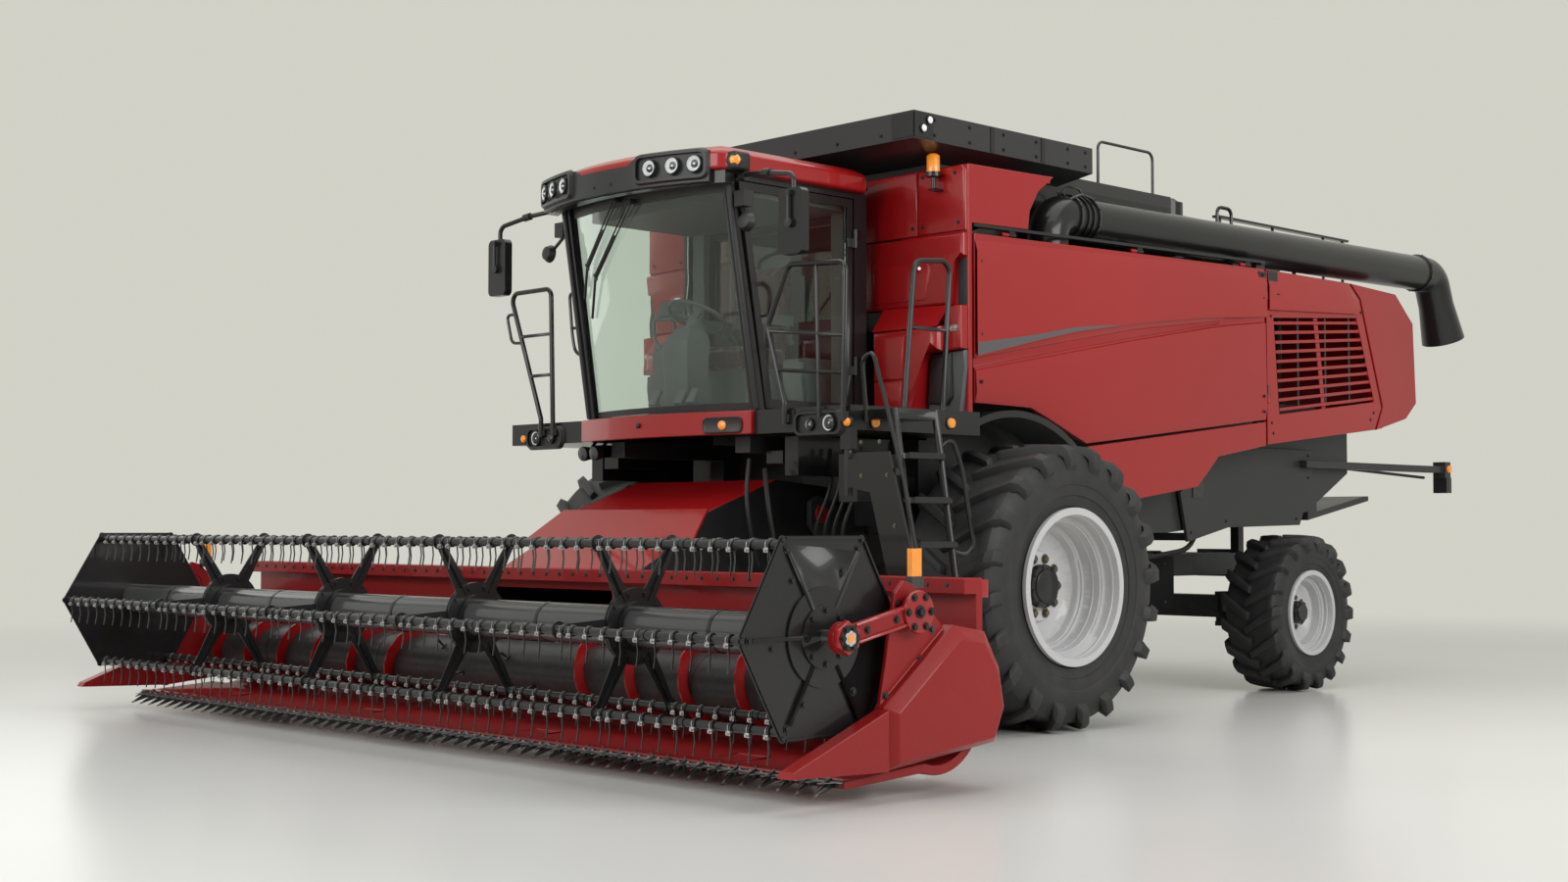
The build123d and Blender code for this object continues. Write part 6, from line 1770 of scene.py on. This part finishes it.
def tail_details():
    """Rear lamps on their arms, hoses below them, and side plate bolts."""
    dark, red, amber, bolts, lines = bmesh.new(), bmesh.new(), bmesh.new(), bmesh.new(), bmesh.new()
    for side in (-1, 1):
        block(dark, side * 1.20, side * 1.33, 6.61, 6.70, 1.60, 1.74)
        place = sideways(side, 1.335, 6.655, 1.815)
        lathe(amber, [(0.034, -0.008), (0.032, 0.010), (0.0, 0.016)], place, 20)
        place = turn_to(at(side * 1.265, 6.70, 1.68), at(side * 1.265, 8.0, 1.68))
        lathe(red, [(0.045, -0.004), (0.043, 0.010), (0.0, 0.016)], place, 20)
        outline = [(2.62, 1.60), (2.74, 1.25), (3.22, 1.34), (4.25, 1.36), (4.44, 1.70), (4.44, 1.88),
                   (3.34, 1.88)]
        stamp(bolts, SMALL_BOLT, [sideways(side, 1.232, y, z) for y, z in outline])
        block(bolts, side * 1.228, side * 1.238, 2.76, 2.90, 1.52, 1.66)
        hose(lines, [(side * 1.00, 4.45, 1.62), (side * 1.05, 4.62, 1.50), (side * 1.08, 4.80, 1.56),
                     (side * 1.10, 4.90, 1.74), (side * 1.12, 5.10, 1.80), (side * 1.14, 6.55, 1.74)],
             0.014, 0.08)
        hose(lines, [(side * 0.98, 4.40, 1.52), (side * 1.02, 4.58, 1.40), (side * 1.08, 4.74, 1.46),
                     (side * 1.06, 4.84, 1.62), (side * 1.02, 4.86, 1.80)], 0.017, 0.08)
        hose(lines, [(side * 1.06, 3.10, 1.30), (side * 1.10, 2.90, 1.12), (side * 1.06, 2.40, 1.06),
                     (side * 1.00, 1.70, 1.10), (side * 0.96, 1.10, 1.28)], 0.020, 0.12)
    show("rear_lamp_boxes", finished(dark), DARK_PLASTIC, "chassis")
    show("rear_lamp_red", finished(red), RED_LENS, "chassis")
    show("rear_lamp_amber", finished(amber), AMBER, "chassis")
    show("frame_plate_bolts", finished(bolts), DARK_STEEL, "chassis")
    show("under_hoses", finished(lines), HOSE_RUBBER, "chassis")


tube_details()
collar_details()
tail_details()
print(len(pieces), "pieces so far")

# %% [markdown]
# ## Chair cushions
# Padded cloth is simulated, not modelled: a slightly smaller copy of each cushion is inflated as cloth
# for twenty frames, no point moves further than a limit, and one subdivision smooths the folds.

# %% Chair cushions
def as_left_by_modifiers(piece):
    """A plain mesh of the piece as its modifiers leave it at this frame."""
    graph = bpy.context.evaluated_depsgraph_get()
    return bpy.data.meshes.new_from_object(piece.evaluated_get(graph))


def keep_shape(piece):
    """Applies a piece's modifiers to its mesh."""
    piece.data = as_left_by_modifiers(piece)
    piece.modifiers.clear()


def inflate(piece, pressure, limit):
    """Blows a closed mesh up as cloth and moves its points there, each by no more than a limit."""
    before = [vert.co.copy() for vert in piece.data.vertices]
    swell = piece.modifiers.new("swell", "CLOTH")
    swell.settings.use_pressure = True
    swell.settings.uniform_pressure_force = pressure
    swell.settings.effector_weights.gravity = 0
    for count in range(1, 21):
        bpy.context.scene.frame_set(count)
    after = as_left_by_modifiers(piece)
    piece.modifiers.clear()
    bpy.context.scene.frame_set(1)
    for vert, start, end in zip(piece.data.vertices, before, after.vertices):
        move = end.co - start
        if move.length > limit:
            move.length = limit
        vert.co = start + move
    bpy.data.meshes.remove(after)


def chair_pads(node, inset):
    """The chair's cushions as sewn pads with channels pressed into them."""
    mesh = merged_copy(node)
    bmesh.ops.triangulate(mesh, faces=mesh.faces)
    mesh.normal_update()
    for vert, push in [(vert, vert.normal * inset) for vert in mesh.verts]:
        vert.co -= push
    pads = show("chair_pads", mesh, CHAIR_CLOTH, node_body[node])
    pads.modifiers.new("even", "REMESH").voxel_size = 0.012
    keep_shape(pads)
    inflate(pads, 4.0, 0.024)
    smooth = pads.modifiers.new("smooth", "SUBSURF")
    smooth.levels = smooth.render_levels = 1
    keep_shape(pads)
    pads.data.polygons.foreach_set("use_smooth", [True] * len(pads.data.polygons))
    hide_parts(node)
    return pads


print(len(chair_pads("chair_cushions", 0.016).data.polygons), "faces in the chair's pads")

# %% [markdown]
# ## What stands on the decks and hangs below
# Smaller equipment fills the gaps that a bare CAD model shows: the air cleaner on the engine deck, grab
# rails by the ladder, lights and hoses under the cab, and the plates round the axles.

# %% Engine deck equipment
def engine_equipment():
    """Air cleaner, pre-cleaner, pipe runs and a flat guard rail on the engine deck."""
    mesh, pipes = bmesh.new(), bmesh.new()
    for x in (0.30, 0.55, 0.80):
        bar(mesh, at(x - 0.012, 3.34, 3.50), at(x + 0.012, 3.34, 3.50), 0.172, 32)
    bar(mesh, at(0.62, 3.34, 3.93), at(0.62, 3.34, 3.965), 0.105, 28, 0.06)
    hose(pipes, [(0.92, 3.34, 3.50), (1.05, 3.34, 3.50), (1.05, 3.02, 3.42), (0.70, 2.95, 3.30)],
         0.055, 0.10, 12)
    hose(pipes, [(1.20, 1.80, 3.76), (1.22, 2.30, 3.70), (1.16, 2.90, 3.60), (1.10, 3.55, 3.50)], 0.018, 0.1)
    for y in (3.52, 4.30, 5.10, 5.42):
        bar(mesh, at(1.00, y, 3.245 if y < 4.5 else 3.29), at(1.00, y, 3.79), 0.013, 8)
    block(mesh, 0.975, 1.03, 3.45, 5.48, 3.785, 3.805)
    hose(mesh, [(1.16, 3.24, 3.55), (1.16, 3.24, 3.83), (1.16, 3.44, 3.83), (1.16, 3.44, 3.55)], 0.015, 0.06)
    show("engine_equipment", finished(mesh), BLACK, "chassis")
    show("engine_pipes", finished(pipes), HOSE_RUBBER, "chassis")


engine_equipment()

# %% Grab rails, ladder and apron
def ladder_details():
    """Grab rails, tread edges and bolts that swing with the ladder."""
    mesh, bolts = bmesh.new(), bmesh.new()
    hose(mesh, [(1.985, -1.04, 1.76), (2.00, -0.93, 1.84), (2.04, -0.885, 1.66), (2.135, -0.885, 1.18),
                (2.13, -0.95, 1.12), (2.075, -1.035, 1.15)], 0.0135, 0.07)
    hose(mesh, [(1.80, -1.47, 1.92), (1.79, -1.505, 2.30), (1.90, -1.525, 2.34), (2.00, -1.515, 2.02),
                (2.14, -1.51, 1.55), (2.27, -1.51, 0.98), (2.22, -1.45, 0.94), (2.10, -1.41, 1.00)],
         0.0135, 0.07)
    low_x, low_z = 2.19, 0.56
    lean = (2.19 - 1.96) / (2.0 - 0.56)
    for count in range(5):
        z = 0.640 + 0.265 * count
        x = low_x - (z - low_z) * lean
        for push in (-0.052, 0.046):
            block(mesh, x + push, x + push + 0.006, -1.38, -1.06, z + 0.002, z + 0.037)
        for y in (-1.425, -1.015):
            out = (0, 1 if y > -1.2 else -1, 0)
            stamp(bolts, SMALL_BOLT, [Matrix.Translation(at(x, y, z + 0.015)) @ looking(out)])
    spots = ((1.78, 1.80), (1.93, 1.80), (1.78, 1.60), (1.99, 1.60), (2.05, 1.30), (2.12, 0.96), (2.05, 0.96))
    stamp(bolts, SMALL_BOLT, [turn_to(at(x, -1.500, z), at(x, -3.0, z)) for x, z in spots])
    show("ladder_rails", finished(mesh), BLACK, "boarding_ladder")
    show("ladder_bolts", finished(bolts), NUT_BRONZE, "boarding_ladder")


def rail_details():
    """Side loops and small knee rails on the deck rails."""
    mesh = bmesh.new()
    y = DECK_FRONT - 0.03
    hose(mesh, [(-1.615, y, 2.826), (-1.735, y, 2.832), (-1.672, y, 2.622), (-1.535, y, 2.615)], 0.012, 0.05)
    hose(mesh, [(-0.824, y, 2.916), (-1.001, y, 2.931), (-0.965, y, 2.625), (-0.931, y, 2.507),
                (-0.821, y, 2.472)], 0.012, 0.05)
    bar(mesh, at(-0.966, y, 2.68), at(-0.86, y, 2.68), 0.011, 8)
    bar(mesh, at(1.10, y, 2.27), at(1.68, y, 2.22), 0.012, 8)
    bar(mesh, at(1.44, y, 2.905), at(1.465, y, 1.96), 0.012, 8)
    bar(mesh, at(1.03, y, 2.62), at(0.93, y + 0.02, 2.62), 0.010, 8)
    for x, z in ((1.18, 1.98), (1.66, 1.98), (-1.19, 1.98), (-1.33, 1.98)):
        block(mesh, x - 0.045, x + 0.045, y + 0.024, y + 0.032, z - 0.07, z + 0.04)
    show("rail_loops", finished(mesh), BLACK, "chassis")


ladder_details()
rail_details()

# %% Under the cab and round the axles
def under_cab():
    """Hoses, valve blocks and small lamps between the feeder house and the cab, and the axle plates."""
    mesh, lines, bright = bmesh.new(), bmesh.new(), bmesh.new()
    for side in (-1, 1):
        block(mesh, side * 0.75 - 0.15 * (side < 0), side * 0.75 + 0.15 * (side > 0), -1.30,
              -0.90, 1.70, 1.78)
    for x in (-0.98, 0.98):
        block(mesh, x - 0.06, x + 0.06, -1.30, -0.45, 1.62, 1.87)
    for x in (-0.86, -0.74):
        place = turn_to(at(x, -1.52, 1.80), at(x, -2.0, 1.75))
        lathe(mesh, [(0.0, -0.06), (0.045, -0.05), (0.052, 0.0), (0.048, 0.01)], place, 20)
        lathe(bright, [(0.047, 0.008), (0.02, 0.014), (0.0, 0.015)], place, 20)
        bar(mesh, at(x, -1.48, 1.80), at(x, -1.40, 1.90), 0.012, 8)
    for x, y in ((1.02, -0.95), (1.10, -0.95), (1.18, -0.95), (1.26, -0.95)):
        hose(lines, [(x, y, 1.80), (x + 0.01, y - 0.04, 1.55), (x - 0.10, y - 0.10, 1.25),
                     (x - 0.20, y + 0.10, 1.00)], 0.013, 0.12)
    hose(lines, [(0.86, -1.42, 1.66), (0.98, -1.50, 1.40), (0.95, -1.40, 1.10), (0.86, -1.10, 0.92)],
         0.016, 0.12)
    hose(lines, [(0.80, -1.50, 1.72), (0.90, -1.62, 1.50), (0.92, -1.60, 1.25), (0.80, -1.42, 1.05)],
         0.014, 0.12)
    block(mesh, 1.30, 1.46, -1.20, -0.80, 1.45, 1.75)
    block(mesh, 1.05, 1.22, -0.80, -0.40, 1.30, 1.62)
    for side in (-1, 1):
        corners = ((1.95, 0.64), (3.22, 0.64), (3.22, 1.06), (1.95, 1.06))
        slab(mesh, [at(side * 0.715, y, z) for y, z in corners], (side * 0.020, 0.0, 0.0))
        for y in (2.05, 2.5, 3.1):
            stamp(bright, SMALL_BOLT, [sideways(side, 0.735, y, z) for z in (0.70, 1.00)])
    show("under_cab", finished(mesh), BLACK, "chassis")
    show("cab_hoses", finished(lines), HOSE_RUBBER, "chassis")
    show("small_lamps", finished(bright), GUNMETAL_AND_PAINTED_HIGHLIGHT, "chassis")


under_cab()
print(len(pieces), "pieces in all")
